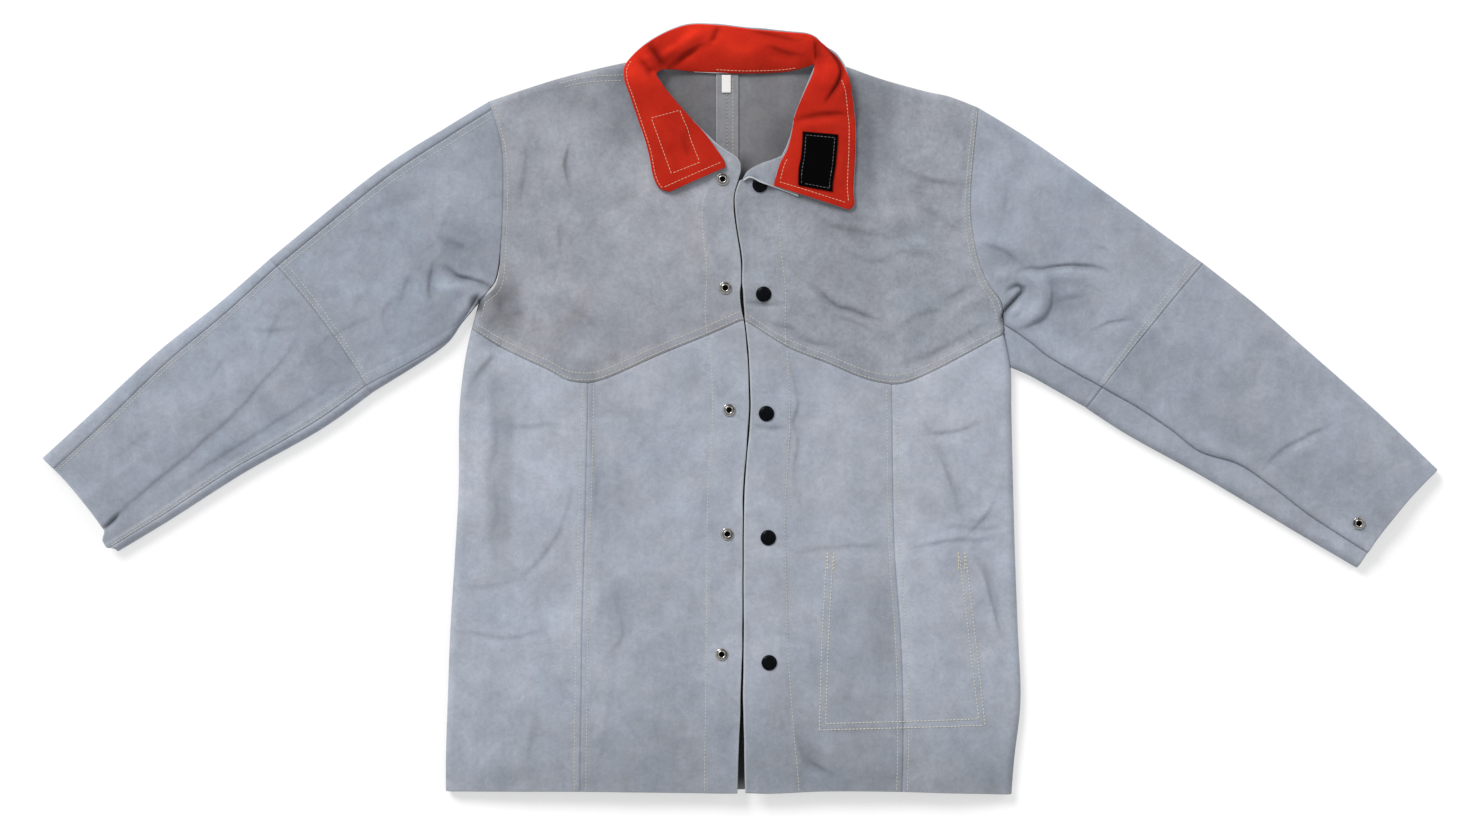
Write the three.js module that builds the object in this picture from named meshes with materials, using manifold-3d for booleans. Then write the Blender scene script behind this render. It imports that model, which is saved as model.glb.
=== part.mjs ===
// Welding jacket of grey split leather with a collar faced in red cotton. It lies flat on its back with its
// snaps open and its collar turned out. Sizes are in millimetres: X runs to the wearer's left, Y towards the
// collar and Z up, and the jacket rests on Z = 0. Left and right are the wearer's.

import * as THREE from "three";
import Module from "manifold-3d";

const solids = await Module();
solids.setup();
const { Manifold, Mesh: ManifoldMesh } = solids;

// Walls and gaps
const LEATHER = 1.6;
const COTTON = 1.2;
const TAPE = 1.4;
const LABEL = 0.6;
const SEAM_GAP = 0.5;
const LAYER_GAP = 0.4;
const FOLD_SEAM_GAP = 1;
const COLLAR_GAP = 1;
const POCKET_GAP = 1.3;

// Loft of the lying jacket: the front layer turns into the back layer at each fold of the outline
const FOLD_REACH = 8;
const EDGE_LOFT = 14;
const FOLD_MIDDLE = EDGE_LOFT / 2;
const CROWN_LOFT = 7;
const CROWN_REACH = 90;
const CREASE_FADE = 26;

// Body heights
const HEM_Y = -423;
const BACK_HEM_Y = -418;
const BACK_SEAM_X = -14;
const BACK_NECK_Y = 371;
const TAPE_WIDTH = 24;
const PLACKET_TOP = { right: 262, left: 257 };
const CHEST_SEAM_AT_EDGE = { right: 98, left: 97 };
const CHEST_SEAM_AT_SIDE = { right: 89, left: 84 };
const ARMPIT_Y = { right: 121, left: 84 };
const PANEL_SEAM_TOP = { right: 30, left: 29 };

const table = (columns, rows) =>
  rows.map((row) => Object.fromEntries(columns.map((name, place) => [name, row[place]])));

const points = (rows) => table(["x", "y"], rows);

// Cross-sections of the body: where each edge, panel seam and side fold lies at a height
const TORSO = table(
  ["y", "rightSide", "rightSeam", "rightEdge", "leftEdge", "leftSeam", "leftSide"],
  [
    [262, null, null, 0, 4, null, null],
    [231, null, null, -8, -5, null, null],
    [163, null, null, -1, 4, null, null],
    [121, -286, null, 0, 4, null, null],
    [84, -296, null, 5, 8, null, 290],
    [48, -303, -167, 8, 11, 166, 297],
    [0, -308, -167, 9, 12, 167, 298],
    [-88, -309, -169, 3, 6, 168, 300],
    [-160, -313, -171, 2, 5, 170, 302],
    [-240, -318, -173, 2, 5, 176, 305],
    [-320, -321, -174, 0, 4, 179, 308],
    [-385, -323, -175, -2, 5, 179, 301],
    [-423, -323, -175, -3, 6, 178, 298],
  ],
);

// Chest seam from the front edge to the side, a shallow V with its point on the panel seam
const CHEST_SEAM = {
  right: points([
    [0, 98], [-40, 80], [-87, 61], [-138, 38], [-158, 31], [-175, 30],
    [-191, 33], [-211, 44], [-237, 56], [-265, 70], [-295, 89],
  ]),
  left: points([
    [8, 97], [52, 69], [99, 50], [132, 36], [154, 30], [178, 29],
    [207, 40], [242, 58], [290, 84],
  ]),
};

// Shoulder fold from the neck to the sleeve head
const SHOULDER = {
  right: points([[-90, 386], [-127, 381], [-198, 364], [-276, 339]]),
  left: points([[86, 387], [117, 377], [157, 363], [204, 350], [231, 344], [262, 332]]),
};

// Front neckline from the front edge to the neck end of the shoulder
const NECKLINE = {
  right: points([[0, 262], [-20, 275], [-37, 301], [-58, 328], [-76, 356], [-90, 386]]),
  left: points([[4, 257], [22, 266], [43, 277], [54, 297], [62, 328], [75, 361], [86, 387]]),
};

// Back neckline from the centre back to the neck end of the shoulder
const BACK_NECKLINE = {
  right: points([[BACK_SEAM_X, BACK_NECK_Y], [-42, 372], [-66, 375], [-90, 386]]),
  left: points([[BACK_SEAM_X, BACK_NECK_Y], [28, 372], [61, 376], [86, 387]]),
};

// Armhole of the body from the shoulder to the armpit. The left sleeve head runs on past it, down the side.
const ARMHOLE = {
  right: points([[-276, 339], [-262, 290], [-260, 242], [-262, 189], [-267, 140], [-286, 121]]),
  left: points([[262, 332], [253, 235], [258, 180], [271, 141], [287, 117], [290, 84]]),
};
const HEAD_ON_ARMHOLE = { right: 1, left: 0.85 };
const ARMPIT_CLEARANCE = { right: { x: -3, y: 3 }, left: { x: 4, y: 1 } };

// Cross-sections of the sleeves from the sleeve head to the cuff: the top fold and the bottom fold
const SLEEVE_COLUMNS = ["topX", "topY", "bottomX", "bottomY"];
const ELBOW_ROW = 3;
const SLEEVE = {
  right: table(SLEEVE_COLUMNS, [
    [-276, 339, -289, 124],
    [-324, 310, -308, 94],
    [-400, 261, -331, 67],
    [-517, 166, -406, 19],
    [-572, 118, -462, -21],
    [-641, 63, -547, -69],
    [-710, -1, -627, -120],
    [-767, -53, -685, -155],
  ]),
  left: table(SLEEVE_COLUMNS, [
    [262, 332, 301, 47],
    [319, 297, 319, 38],
    [400, 240, 346, 23],
    [509, 161, 381, 3],
    [566, 116, 429, -28],
    [622, 67, 512, -74],
    [700, -2, 616, -136],
    [767, -66, 679, -173],
  ]),
};
const ELBOW_BOW = { right: 10, left: 12 };
const CUFF_BOW = { right: 6, left: 5 };

// Long sleeve seams as shares of the way round the arm: 0 is the top fold, 1 the bottom fold, and the back
// layer runs on from 1 to 2. The two numbers are at the upper and the lower end of a sleeve piece.
const SLEEVE_SEAMS = {
  right: { upperTop: [0.04, 0.06], foreTop: [0.06, 0.13], upperBottom: [0.86, 0.94], foreBottom: [0.94, 0.94] },
  left: { upperTop: [-0.08, -0.08], foreTop: [-0.08, -0.08], upperBottom: [0.85, 0.86], foreBottom: [0.86, 0.85] },
};
const SLEEVE_FOLD_SHARE = 0.05;
const FOLD_SHARES = [0, 0.134, 0.5, 1];
const FRONT_MARKS = [0.2, 0.4, 0.6, 0.8, 0.86];
const BACK_MARKS = [0.25, 0.5, 0.75];
const UPPER_LENGTH = 250;
const FOREARM_LENGTH = 320;
const SLEEVE_GIRTH = 170;
const ARMPIT_GAP_REACH = 0.4;
const ARMPIT_GAP_TIMES = 7;

// Creases of the front layer: a ridge (+) or a dent (-) along a line
const CREASES = table(
  ["fromX", "fromY", "toX", "toY", "reach", "height"],
  [
    [-684, -122, -520, 10, 12, -5],
    [-520, 10, -484, 84, 14, -4],
    [-316, 142, -272, 130, 7, 4],
    [-341, 165, -341, 125, 9, -3],
    [311, 152, 400, 160, 10, -4],
    [334, 134, 300, 96, 9, 4],
    [578, -56, 629, -12, 10, -3],
    [206, -22, 258, -16, 14, -3],
    [102, 112, 156, 100, 16, -3],
    [62, -364, 94, -398, 12, -3],
    [-184, -100, -214, -160, 18, -3],
    [-272, -250, -216, -242, 18, -3],
  ],
);

// Collar stations from the right front end round the neck to the left front end. A height is given where the
// collar stands free behind the neck; elsewhere it lies on the body.
const COLLAR = table(
  ["neckX", "neckY", "neckZ", "outerX", "outerY", "outerZ"],
  [
    [-19, 273, null, -84, 240, null],
    [-37, 301, null, -99, 277, null],
    [-58, 328, null, -112, 319, null],
    [-76, 356, 22, -124, 354, 24],
    [-85, 376, 19, -122, 385, 26],
    [-74, 378, 11, -97, 405, 28],
    [-44, 375, 4, -57, 421, 30],
    [0, 374, 4, 0, 420, 31],
    [50, 376, 4, 55, 415, 31],
    [72, 380, 11, 88, 404, 29],
    [80, 378, 19, 112, 381, 27],
    [76, 362, 22, 121, 359, 25],
    [62, 328, null, 127, 324, null],
    [54, 292, null, 128, 286, null],
    [42, 252, null, 122, 223, null],
  ],
);
const COLLAR_LIFT = LEATHER / 2 + LAYER_GAP + LEATHER + COLLAR_GAP / 2;
const COLLAR_ARCH = 3;
const FACING_INSET = 0.02;

// Corner of the left front that is turned back over the top snap
const TURNED_CORNER = {
  fold: points([[4, 257], [45, 279]]),
  edge: points([[8, 253], [38, 247]]),
  roll: 2.8,
  tuck: 3,
};

// Inside pocket, label and hook patch
const POCKET_OUTLINE = {
  left: points([[88, -345], [90, -253], [95, -160]]),
  right: points([[268, -345], [260, -264], [248, -160]]),
};
const LABEL_SIZE = { x: -15, top: 369, width: 9, length: 19 };
const PATCH_ROWS = { from: 0.2, to: 0.7, near: 12.65, far: 13.75 };

// Snaps, listed from the collar down
const STUD_SEATS = points([[-19, 253], [-16, 134], [-12, 0], [-14, -136], [-20, -268]]);
const CAP_SEATS = points([[22, 247], [26, 127], [29, -4], [31, -140], [32, -277]]);
const CUFF_STUD_SEAT = { x: 679, y: -124 };
const STUD = { base: 13.6, rim: 9, post: 7, hole: 4, baseHeight: 1, height: 3.4, depth: 2.4 };
const CAP = { width: 17, rise: 2.6, edge: 0.9, shoulder: 6.4 };
const SNAP_SIDES = 12;

// Colours
const GREY_LEATHER = 0x7f848d;
const INNER_LEATHER = 0x77767c;
const RED_COTTON = 0xce2616;
const HOOK_BLACK = 0x17181a;
const CAP_BLACK = 0x1d1f22;
const NICKEL = 0xbdb9ae;
const WHITE_TAPE = 0xeeede8;

// Curves in plan
const plan = (x, y) => new THREE.Vector2(x, y);

function columnAt(rows, key, value, at) {
  const known = rows.filter((row) => row[value] !== null).sort((a, b) => a[key] - b[key]);
  const last = known.length - 1;
  let low = 0;
  while (low < last - 1 && known[low + 1][key] < at) {
    low += 1;
  }
  const slope = (row) => {
    const before = known[Math.max(row - 1, 0)];
    const after = known[Math.min(row + 1, last)];
    return (after[value] - before[value]) / (after[key] - before[key]);
  };
  const span = known[low + 1][key] - known[low][key];
  const t = THREE.MathUtils.clamp((at - known[low][key]) / span, 0, 1);
  const blend = t * t * (3 - 2 * t);
  const level = THREE.MathUtils.lerp(known[low][value], known[low + 1][value], blend);
  const lean = slope(low) * t * (1 - t) ** 2 - slope(low + 1) * t * t * (1 - t);
  return level + span * lean;
}

function through(rows) {
  const curve = new THREE.SplineCurve(rows.map((row) => plan(row.x, row.y)));
  return (t) => curve.getPointAt(THREE.MathUtils.clamp(t, 0, 1));
}

const straight = (from, to) => (t) => from.clone().lerp(to, t);

const joined = (first, second, split) => (t) =>
  t < split ? first(t / split) : second((t - split) / (1 - split));

function bowed(from, to, bow, awayFrom) {
  const across = to.clone().sub(from).normalize();
  const aside = plan(-across.y, across.x);
  if (aside.dot(awayFrom.clone().sub(from)) < 0) {
    aside.negate();
  }
  return (t) => from.clone().lerp(to, t).addScaledVector(aside, 4 * bow * t * (1 - t));
}

function torsoEdge(column, low, high) {
  return (t) => {
    const y = THREE.MathUtils.lerp(low, high, t);
    return plan(columnAt(TORSO, "y", column, y), y);
  };
}

function chestSeam(side, fromX, toX) {
  return (t) => {
    const x = THREE.MathUtils.lerp(fromX, toX, t);
    return plan(x, columnAt(CHEST_SEAM[side], "x", "y", x));
  };
}

// A patch between four curves that share their end points: start and end run along v, low and high along u
function patch(low, high, start, end) {
  const corners = [low(0), low(1), high(0), high(1)];
  return (u, v) => {
    const point = low(u).multiplyScalar(1 - v).addScaledVector(high(u), v);
    point.addScaledVector(start(v), 1 - u).addScaledVector(end(v), u);
    point.addScaledVector(corners[0], -(1 - u) * (1 - v)).addScaledVector(corners[1], -u * (1 - v));
    return point.addScaledVector(corners[2], -(1 - u) * v).addScaledVector(corners[3], -u * v);
  };
}

// Sleeve patches: u runs down the arm and v from the top fold to the bottom fold
function sleeveFold(side, end, fromRow, toRow) {
  const rows = SLEEVE[side].slice(fromRow, toRow + 1);
  return through(rows.map((row) => ({ x: row[`${end}X`], y: row[`${end}Y`] })));
}

function sleeveHead(side) {
  const armhole = through(ARMHOLE[side]);
  const share = HEAD_ON_ARMHOLE[side];
  const clearance = plan(ARMPIT_CLEARANCE[side].x, ARMPIT_CLEARANCE[side].y);
  const sewn = (t) => armhole(t).addScaledVector(clearance, THREE.MathUtils.smoothstep(t, 0.6, 1));
  const last = plan(SLEEVE[side][0].bottomX, SLEEVE[side][0].bottomY);
  return share < 1 ? joined(sewn, straight(sewn(1), last), share) : sewn;
}

function sleevePatches(side) {
  const rows = SLEEVE[side];
  const cuffRow = rows.length - 1;
  const end = (row, fold) => plan(rows[row][`${fold}X`], rows[row][`${fold}Y`]);
  const shoulder = end(0, "top");
  const elbow = bowed(end(ELBOW_ROW, "top"), end(ELBOW_ROW, "bottom"), ELBOW_BOW[side], shoulder);
  const cuff = bowed(end(cuffRow, "top"), end(cuffRow, "bottom"), CUFF_BOW[side], shoulder);
  const part = (fold, from, to) => sleeveFold(side, fold, from, to);
  return {
    upper: patch(part("top", 0, ELBOW_ROW), part("bottom", 0, ELBOW_ROW), sleeveHead(side), elbow),
    forearm: patch(part("top", ELBOW_ROW, cuffRow), part("bottom", ELBOW_ROW, cuffRow), elbow, cuff),
  };
}

// Distance to the nearest fold of the outline, which sets the height of both layers
const FOLD_STEPS = 60;

function foldSegments() {
  const lines = [];
  for (const side of ["right", "left"]) {
    const last = SLEEVE[side].length - 1;
    lines.push(torsoEdge(`${side}Side`, HEM_Y, ARMPIT_Y[side]), through(SHOULDER[side]));
    for (const fold of ["top", "bottom"]) {
      lines.push(sleeveFold(side, fold, 0, ELBOW_ROW), sleeveFold(side, fold, ELBOW_ROW, last));
    }
  }
  return lines.flatMap((line) => {
    const stops = Array.from({ length: FOLD_STEPS + 1 }, (_, step) => line(step / FOLD_STEPS));
    return stops.slice(1).map((stop, step) => ({ from: stops[step], to: stop }));
  });
}

const FOLD_SEGMENTS = foldSegments();

function segmentDistance(x, y, from, to) {
  const alongX = to.x - from.x;
  const alongY = to.y - from.y;
  const share = ((x - from.x) * alongX + (y - from.y) * alongY) / (alongX ** 2 + alongY ** 2);
  const t = THREE.MathUtils.clamp(share, 0, 1);
  return Math.hypot(x - from.x - t * alongX, y - from.y - t * alongY);
}

function foldDistance(x, y) {
  let nearest = Infinity;
  for (const { from, to } of FOLD_SEGMENTS) {
    nearest = Math.min(nearest, segmentDistance(x, y, from, to));
  }
  return nearest;
}

function foldTurn(distance) {
  const left = Math.max(0, 1 - distance / FOLD_REACH);
  return Math.sqrt(1 - left * left);
}

function creaseHeight(x, y) {
  let height = 0;
  for (const row of CREASES) {
    const from = { x: row.fromX, y: row.fromY };
    const to = { x: row.toX, y: row.toY };
    height += row.height * Math.exp(-((segmentDistance(x, y, from, to) / row.reach) ** 2));
  }
  return height;
}

function frontHeight(x, y) {
  const distance = foldDistance(x, y);
  const crown = CROWN_LOFT * THREE.MathUtils.smoothstep(distance, 0, CROWN_REACH);
  const creases = creaseHeight(x, y) * THREE.MathUtils.smoothstep(distance, 0, CREASE_FADE);
  const rise = (EDGE_LOFT + crown + creases - FOLD_MIDDLE) * foldTurn(distance);
  return FOLD_MIDDLE + Math.max(FOLD_SEAM_GAP / 2, rise);
}

function backHeight(x, y) {
  const drop = (FOLD_MIDDLE - LEATHER / 2) * foldTurn(foldDistance(x, y));
  return FOLD_MIDDLE - Math.max(FOLD_SEAM_GAP / 2, drop);
}

const onFront = (point, offset = 0) =>
  new THREE.Vector3(point.x, point.y, frontHeight(point.x, point.y) + offset);
const onBack = (point, offset = 0) =>
  new THREE.Vector3(point.x, point.y, backHeight(point.x, point.y) + offset);

// Sheets: a grid of points on the middle of the wall, thickened to both sides and closed at its rim
function gridNormals(grid) {
  const lastRow = grid.length - 1;
  const lastColumn = grid[0].length - 1;
  return grid.map((row, i) =>
    row.map((_, j) => {
      const alongRows = grid[Math.min(i + 1, lastRow)][j].clone().sub(grid[Math.max(i - 1, 0)][j]);
      const alongRow = row[Math.min(j + 1, lastColumn)].clone().sub(row[Math.max(j - 1, 0)]);
      return alongRows.cross(alongRow).normalize();
    }),
  );
}

function rimOf(rows, columns) {
  const at = (i, j) => i * columns + j;
  const rim = [];
  for (let i = 0; i < rows - 1; i += 1) rim.push(at(i, 0));
  for (let j = 0; j < columns - 1; j += 1) rim.push(at(rows - 1, j));
  for (let i = rows - 1; i > 0; i -= 1) rim.push(at(i, columns - 1));
  for (let j = columns - 1; j > 0; j -= 1) rim.push(at(0, j));
  return rim;
}

function sheetTriangles(rows, columns) {
  const other = rows * columns;
  const triangles = [];
  for (let i = 0; i < rows - 1; i += 1) {
    for (let j = 0; j < columns - 1; j += 1) {
      const a = i * columns + j;
      const b = a + columns;
      triangles.push([a, b, b + 1], [a, b + 1, a + 1]);
      triangles.push([other + a, other + b + 1, other + b], [other + a, other + a + 1, other + b + 1]);
    }
  }
  const rim = rimOf(rows, columns);
  rim.forEach((a, place) => {
    const b = rim[(place + 1) % rim.length];
    triangles.push([a, other + a, b], [b, other + a, other + b]);
  });
  return triangles;
}

function signedVolume(vertices, triangles) {
  const normal = new THREE.Vector3();
  return triangles.reduce((sum, [a, b, c]) => {
    normal.copy(vertices[a]).cross(vertices[b]);
    return sum + normal.dot(vertices[c]) / 6;
  }, 0);
}

function geometryFrom(vertices, triangles) {
  const geometry = new THREE.BufferGeometry();
  geometry.setAttribute("position", new THREE.Float32BufferAttribute(vertices.flatMap((v) => v.toArray()), 3));
  geometry.setIndex(triangles.flat());
  geometry.computeVertexNormals();
  return geometry;
}

function sheet(grid, thickness) {
  const normals = gridNormals(grid);
  const face = (side) =>
    grid.flatMap((row, i) => row.map((p, j) => p.clone().addScaledVector(normals[i][j], (side * thickness) / 2)));
  const vertices = [...face(1), ...face(-1)];
  const triangles = sheetTriangles(grid.length, grid[0].length);
  const inward = signedVolume(vertices, triangles) < 0;
  return geometryFrom(vertices, inward ? triangles.map(([a, b, c]) => [a, c, b]) : triangles);
}

function toManifold(geometry) {
  const solid = new ManifoldMesh({
    numProp: 3,
    vertProperties: new Float32Array(geometry.getAttribute("position").array),
    triVerts: new Uint32Array(geometry.getIndex().array),
  });
  solid.merge();
  return new Manifold(solid);
}

function union(first, second) {
  const whole = Manifold.union(toManifold(first), toManifold(second)).getMesh();
  const vertices = [];
  for (let place = 0; place < whole.vertProperties.length; place += whole.numProp) {
    vertices.push(new THREE.Vector3().fromArray(whole.vertProperties, place));
  }
  const triangles = [];
  for (let place = 0; place < whole.triVerts.length; place += 3) {
    triangles.push([...whole.triVerts.slice(place, place + 3)]);
  }
  return geometryFrom(vertices, triangles);
}

// Sample places along a patch: trimmed back at a seam, crowded together at a fold
const spread = (count, low, high) =>
  Array.from({ length: count + 1 }, (_, place) => low + ((high - low) * place) / count);

const trimFor = (length) => SEAM_GAP / 2 / length;

function stops(count, length) {
  return spread(count, trimFor(length), 1 - trimFor(length));
}

function stopsToFold(count, length) {
  const reach = FOLD_REACH / length;
  const turn = FOLD_SHARES.slice(0, -1).map((share) => 1 - share * reach);
  return [...spread(count, trimFor(length), 1 - reach), ...turn.reverse()];
}

const gridOver = (us, vs, surface) => us.map((u) => vs.map((v) => surface(u, v)));

// Places on the armhole, as shares from the shoulder to the armpit, where the body and the sleeve both have a point
function armholeShares(side, faceMarks) {
  const nearTop = FOLD_SHARES.map((share) => share * SLEEVE_FOLD_SHARE);
  const nearBottom = FOLD_SHARES.map((share) => 1 - share * SLEEVE_FOLD_SHARE);
  const head = HEAD_ON_ARMHOLE[side];
  const marks = [...nearTop, ...faceMarks, ...nearBottom].filter((mark) => mark < head);
  return [...marks.map((mark) => mark / head), 1].sort((a, b) => b - a);
}

const reversed = (curve) => (t) => curve(1 - t);

// Body panels
const YOKE_LENGTH = 270;
const BACK_LENGTH = 780;
const ARMPIT_SHARE = 0.68;
const NECK_CORNER_SHARE = 0.5;
const BACK_NECK_SHARE = 0.93;
const sideX = (side, column, y) => columnAt(TORSO, "y", `${side}${column}`, y);

const FRONT_STOPS = stops(5, 172);
const SIDE_STOPS = stopsToFold(4, 135);
const LENGTH_STOPS = stops(10, 480);

// Stops across the yoke and the back that meet those of the two panels below the yoke
function bodyStops(side) {
  const edgeX = sideX(side, "Edge", CHEST_SEAM_AT_EDGE[side]);
  const foldX = sideX(side, "Side", CHEST_SEAM_AT_SIDE[side]);
  const panelShare = (sideX(side, "Seam", PANEL_SEAM_TOP[side]) - edgeX) / (foldX - edgeX);
  const overFront = FRONT_STOPS.slice(0, -1).map((stop) => stop * panelShare);
  const overSide = SIDE_STOPS.slice(1).map((stop) => panelShare + stop * (1 - panelShare));
  return [...overFront, panelShare, ...overSide];
}

function yoke(side) {
  const edgeY = CHEST_SEAM_AT_EDGE[side];
  const sideY = CHEST_SEAM_AT_SIDE[side];
  const edgeX = sideX(side, "Edge", edgeY);
  const foldX = sideX(side, "Side", sideY);
  const armpit = (ARMPIT_Y[side] - sideY) / YOKE_LENGTH;
  const shares = armholeShares(side, FRONT_MARKS).map((share) => 1 - share * (1 - armpit));
  const vs = [...new Set([trimFor(YOKE_LENGTH), ...shares.filter((v) => v > 0)])];
  const neckCorner = vs.find((v) => v > NECK_CORNER_SHARE);
  const frontEdge = torsoEdge(`${side}Edge`, edgeY, PLACKET_TOP[side]);
  const inner = joined(frontEdge, through(NECKLINE[side]), neckCorner);
  const sideFold = torsoEdge(`${side}Side`, sideY, ARMPIT_Y[side]);
  const armhole = reversed(through(ARMHOLE[side]));
  const outer = armpit > 0 ? joined(sideFold, armhole, armpit) : armhole;
  const area = patch(chestSeam(side, edgeX, foldX), through(SHOULDER[side]), inner, outer);
  return sheet(gridOver(bodyStops(side), vs, (u, v) => onFront(area(u, v))), LEATHER);
}

function frontPanel(side) {
  const edgeY = CHEST_SEAM_AT_EDGE[side];
  const seamY = PANEL_SEAM_TOP[side];
  const low = straight(plan(sideX(side, "Edge", HEM_Y), HEM_Y), plan(sideX(side, "Seam", HEM_Y), HEM_Y));
  const high = chestSeam(side, sideX(side, "Edge", edgeY), sideX(side, "Seam", seamY));
  const inner = torsoEdge(`${side}Edge`, HEM_Y, edgeY);
  const outer = torsoEdge(`${side}Seam`, HEM_Y, seamY);
  const area = patch(low, high, inner, outer);
  return sheet(gridOver(FRONT_STOPS, LENGTH_STOPS, (u, v) => onFront(area(u, v))), LEATHER);
}

function sidePanel(side) {
  const seamY = PANEL_SEAM_TOP[side];
  const foldY = CHEST_SEAM_AT_SIDE[side];
  const low = straight(plan(sideX(side, "Seam", HEM_Y), HEM_Y), plan(sideX(side, "Side", HEM_Y), HEM_Y));
  const high = chestSeam(side, sideX(side, "Seam", seamY), sideX(side, "Side", foldY));
  const inner = torsoEdge(`${side}Seam`, HEM_Y, seamY);
  const outer = torsoEdge(`${side}Side`, HEM_Y, foldY);
  const area = patch(low, high, inner, outer);
  return sheet(gridOver(SIDE_STOPS, LENGTH_STOPS, (u, v) => onFront(area(u, v))), LEATHER);
}

function backPanel(side) {
  const low = spread(5, trimFor(BACK_LENGTH), ARMPIT_SHARE);
  const high = armholeShares(side, BACK_MARKS).map((share) => 1 - share * (1 - ARMPIT_SHARE));
  const vs = [...low, ...high.slice(1)];
  const neckCorner = vs.find((v) => v > BACK_NECK_SHARE);
  const hemCentre = plan(BACK_SEAM_X, BACK_HEM_Y);
  const hem = straight(hemCentre, plan(sideX(side, "Side", BACK_HEM_Y), BACK_HEM_Y));
  const centre = straight(hemCentre, plan(BACK_SEAM_X, BACK_NECK_Y));
  const inner = joined(centre, through(BACK_NECKLINE[side]), neckCorner);
  const sideFold = torsoEdge(`${side}Side`, BACK_HEM_Y, ARMPIT_Y[side]);
  const outer = joined(sideFold, reversed(through(ARMHOLE[side])), ARMPIT_SHARE);
  const area = patch(hem, through(SHOULDER[side]), inner, outer);
  return sheet(gridOver(bodyStops(side), vs, (u, v) => onBack(area(u, v))), LEATHER);
}

function backSeamTape() {
  const lift = LEATHER / 2 + LAYER_GAP + TAPE / 2;
  const half = TAPE_WIDTH / 2;
  const at = (u, v) =>
    plan(BACK_SEAM_X + half * (2 * u - 1), THREE.MathUtils.lerp(BACK_HEM_Y, BACK_NECK_Y - SEAM_GAP, v));
  return sheet(gridOver([0, 1], stops(3, 780), (u, v) => onBack(at(u, v), lift)), TAPE);
}

function insidePocket() {
  const drop = LEATHER / 2 + POCKET_GAP + LEATHER / 2;
  const inner = through(POCKET_OUTLINE.left);
  const outer = through(POCKET_OUTLINE.right);
  const at = (u, v) => inner(v).lerp(outer(v), u);
  const shares = [0, 0.2, 0.4, 0.6, 0.8, 1];
  return sheet(gridOver(shares, shares, (u, v) => onFront(at(u, v), -drop)), LEATHER);
}

// Sleeves: a place on the way round the arm belongs to the front layer or to the back layer
function roundArm(area, u, around) {
  const lap = THREE.MathUtils.euclideanModulo(around, 2);
  const point = area(u, lap <= 1 ? lap : 2 - lap);
  if (Number.isInteger(around)) {
    return new THREE.Vector3(point.x, point.y, FOLD_MIDDLE);
  }
  return lap < 1 ? onFront(point) : onBack(point);
}

function aroundMarks() {
  const turn = [...FOLD_SHARES.slice(1).map((share) => -share), ...FOLD_SHARES];
  const folds = [0, 1, 2].flatMap((fold) => turn.map((share) => fold + share * SLEEVE_FOLD_SHARE));
  const marks = [...folds, ...FRONT_MARKS, ...BACK_MARKS.map((mark) => 2 - mark)];
  return marks.sort((a, b) => a - b);
}

// The gap of a long sleeve seam widens towards the armpit, where the seam runs close along the fold
function sleeveTrim(u) {
  const nearArmpit = 1 - THREE.MathUtils.smoothstep(u, 0, ARMPIT_GAP_REACH);
  return trimFor(SLEEVE_GIRTH) * (1 + (ARMPIT_GAP_TIMES - 1) * nearArmpit);
}

function sleevePiece(area, from, to, us, limits) {
  const clear = SLEEVE_FOLD_SHARE / 10;
  const marks = aroundMarks().filter((mark) => mark > limits.low + clear && mark < limits.high - clear);
  const grid = us.map((u) => {
    const first = THREE.MathUtils.lerp(from[0], from[1], u) + sleeveTrim(u);
    const last = THREE.MathUtils.lerp(to[0], to[1], u) - sleeveTrim(u);
    return [first, ...marks, last].map((around) => roundArm(area, u, around));
  });
  return sheet(grid, LEATHER);
}

const fullTurn = (shares) => shares.map((share) => share + 2);

function sleevePieces(side) {
  const { upper, forearm } = sleevePatches(side);
  const { upperTop, foreTop, upperBottom, foreBottom } = SLEEVE_SEAMS[side];
  const tops = [...upperTop, ...foreTop];
  const bottoms = [...upperBottom, ...foreBottom];
  const front = { low: Math.max(...tops), high: Math.min(...bottoms) };
  const back = { low: Math.max(...bottoms), high: Math.min(...fullTurn(tops)) };
  const upperStops = stops(9, UPPER_LENGTH);
  const foreStops = stops(8, FOREARM_LENGTH);
  return {
    upper_sleeve_front: sleevePiece(upper, upperTop, upperBottom, upperStops, front),
    upper_sleeve_back: sleevePiece(upper, upperBottom, fullTurn(upperTop), upperStops, back),
    forearm_front: sleevePiece(forearm, foreTop, foreBottom, foreStops, front),
    forearm_back: sleevePiece(forearm, foreBottom, fullTurn(foreTop), foreStops, back),
  };
}

// Collar: the middle between its two layers
function collarStation(row) {
  const rest = (x, y) => frontHeight(x, y) + COLLAR_LIFT;
  return {
    neck: new THREE.Vector3(row.neckX, row.neckY, row.neckZ ?? rest(row.neckX, row.neckY)),
    outer: new THREE.Vector3(row.outerX, row.outerY, row.outerZ ?? rest(row.outerX, row.outerY)),
  };
}

const collarStations = COLLAR.map(collarStation);
const collarNeck = new THREE.CatmullRomCurve3(collarStations.map((station) => station.neck));
const collarOuter = new THREE.CatmullRomCurve3(collarStations.map((station) => station.outer));

function bodyUnder(x, y) {
  const side = x < 0 ? "right" : "left";
  const besideNeck = Math.abs(x) > Math.abs(columnAt(NECKLINE[side], "y", "x", y));
  const belowShoulder = y < columnAt(SHOULDER[side], "x", "y", x);
  return besideNeck && belowShoulder ? frontHeight(x, y) : 0;
}

function collarMiddle(s, w) {
  const point = collarNeck.getPoint(s).lerp(collarOuter.getPoint(s), w);
  const arched = point.z + COLLAR_ARCH * 4 * w * (1 - w);
  point.z = Math.max(arched, bodyUnder(point.x, point.y) + COLLAR_LIFT);
  return point;
}

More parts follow.
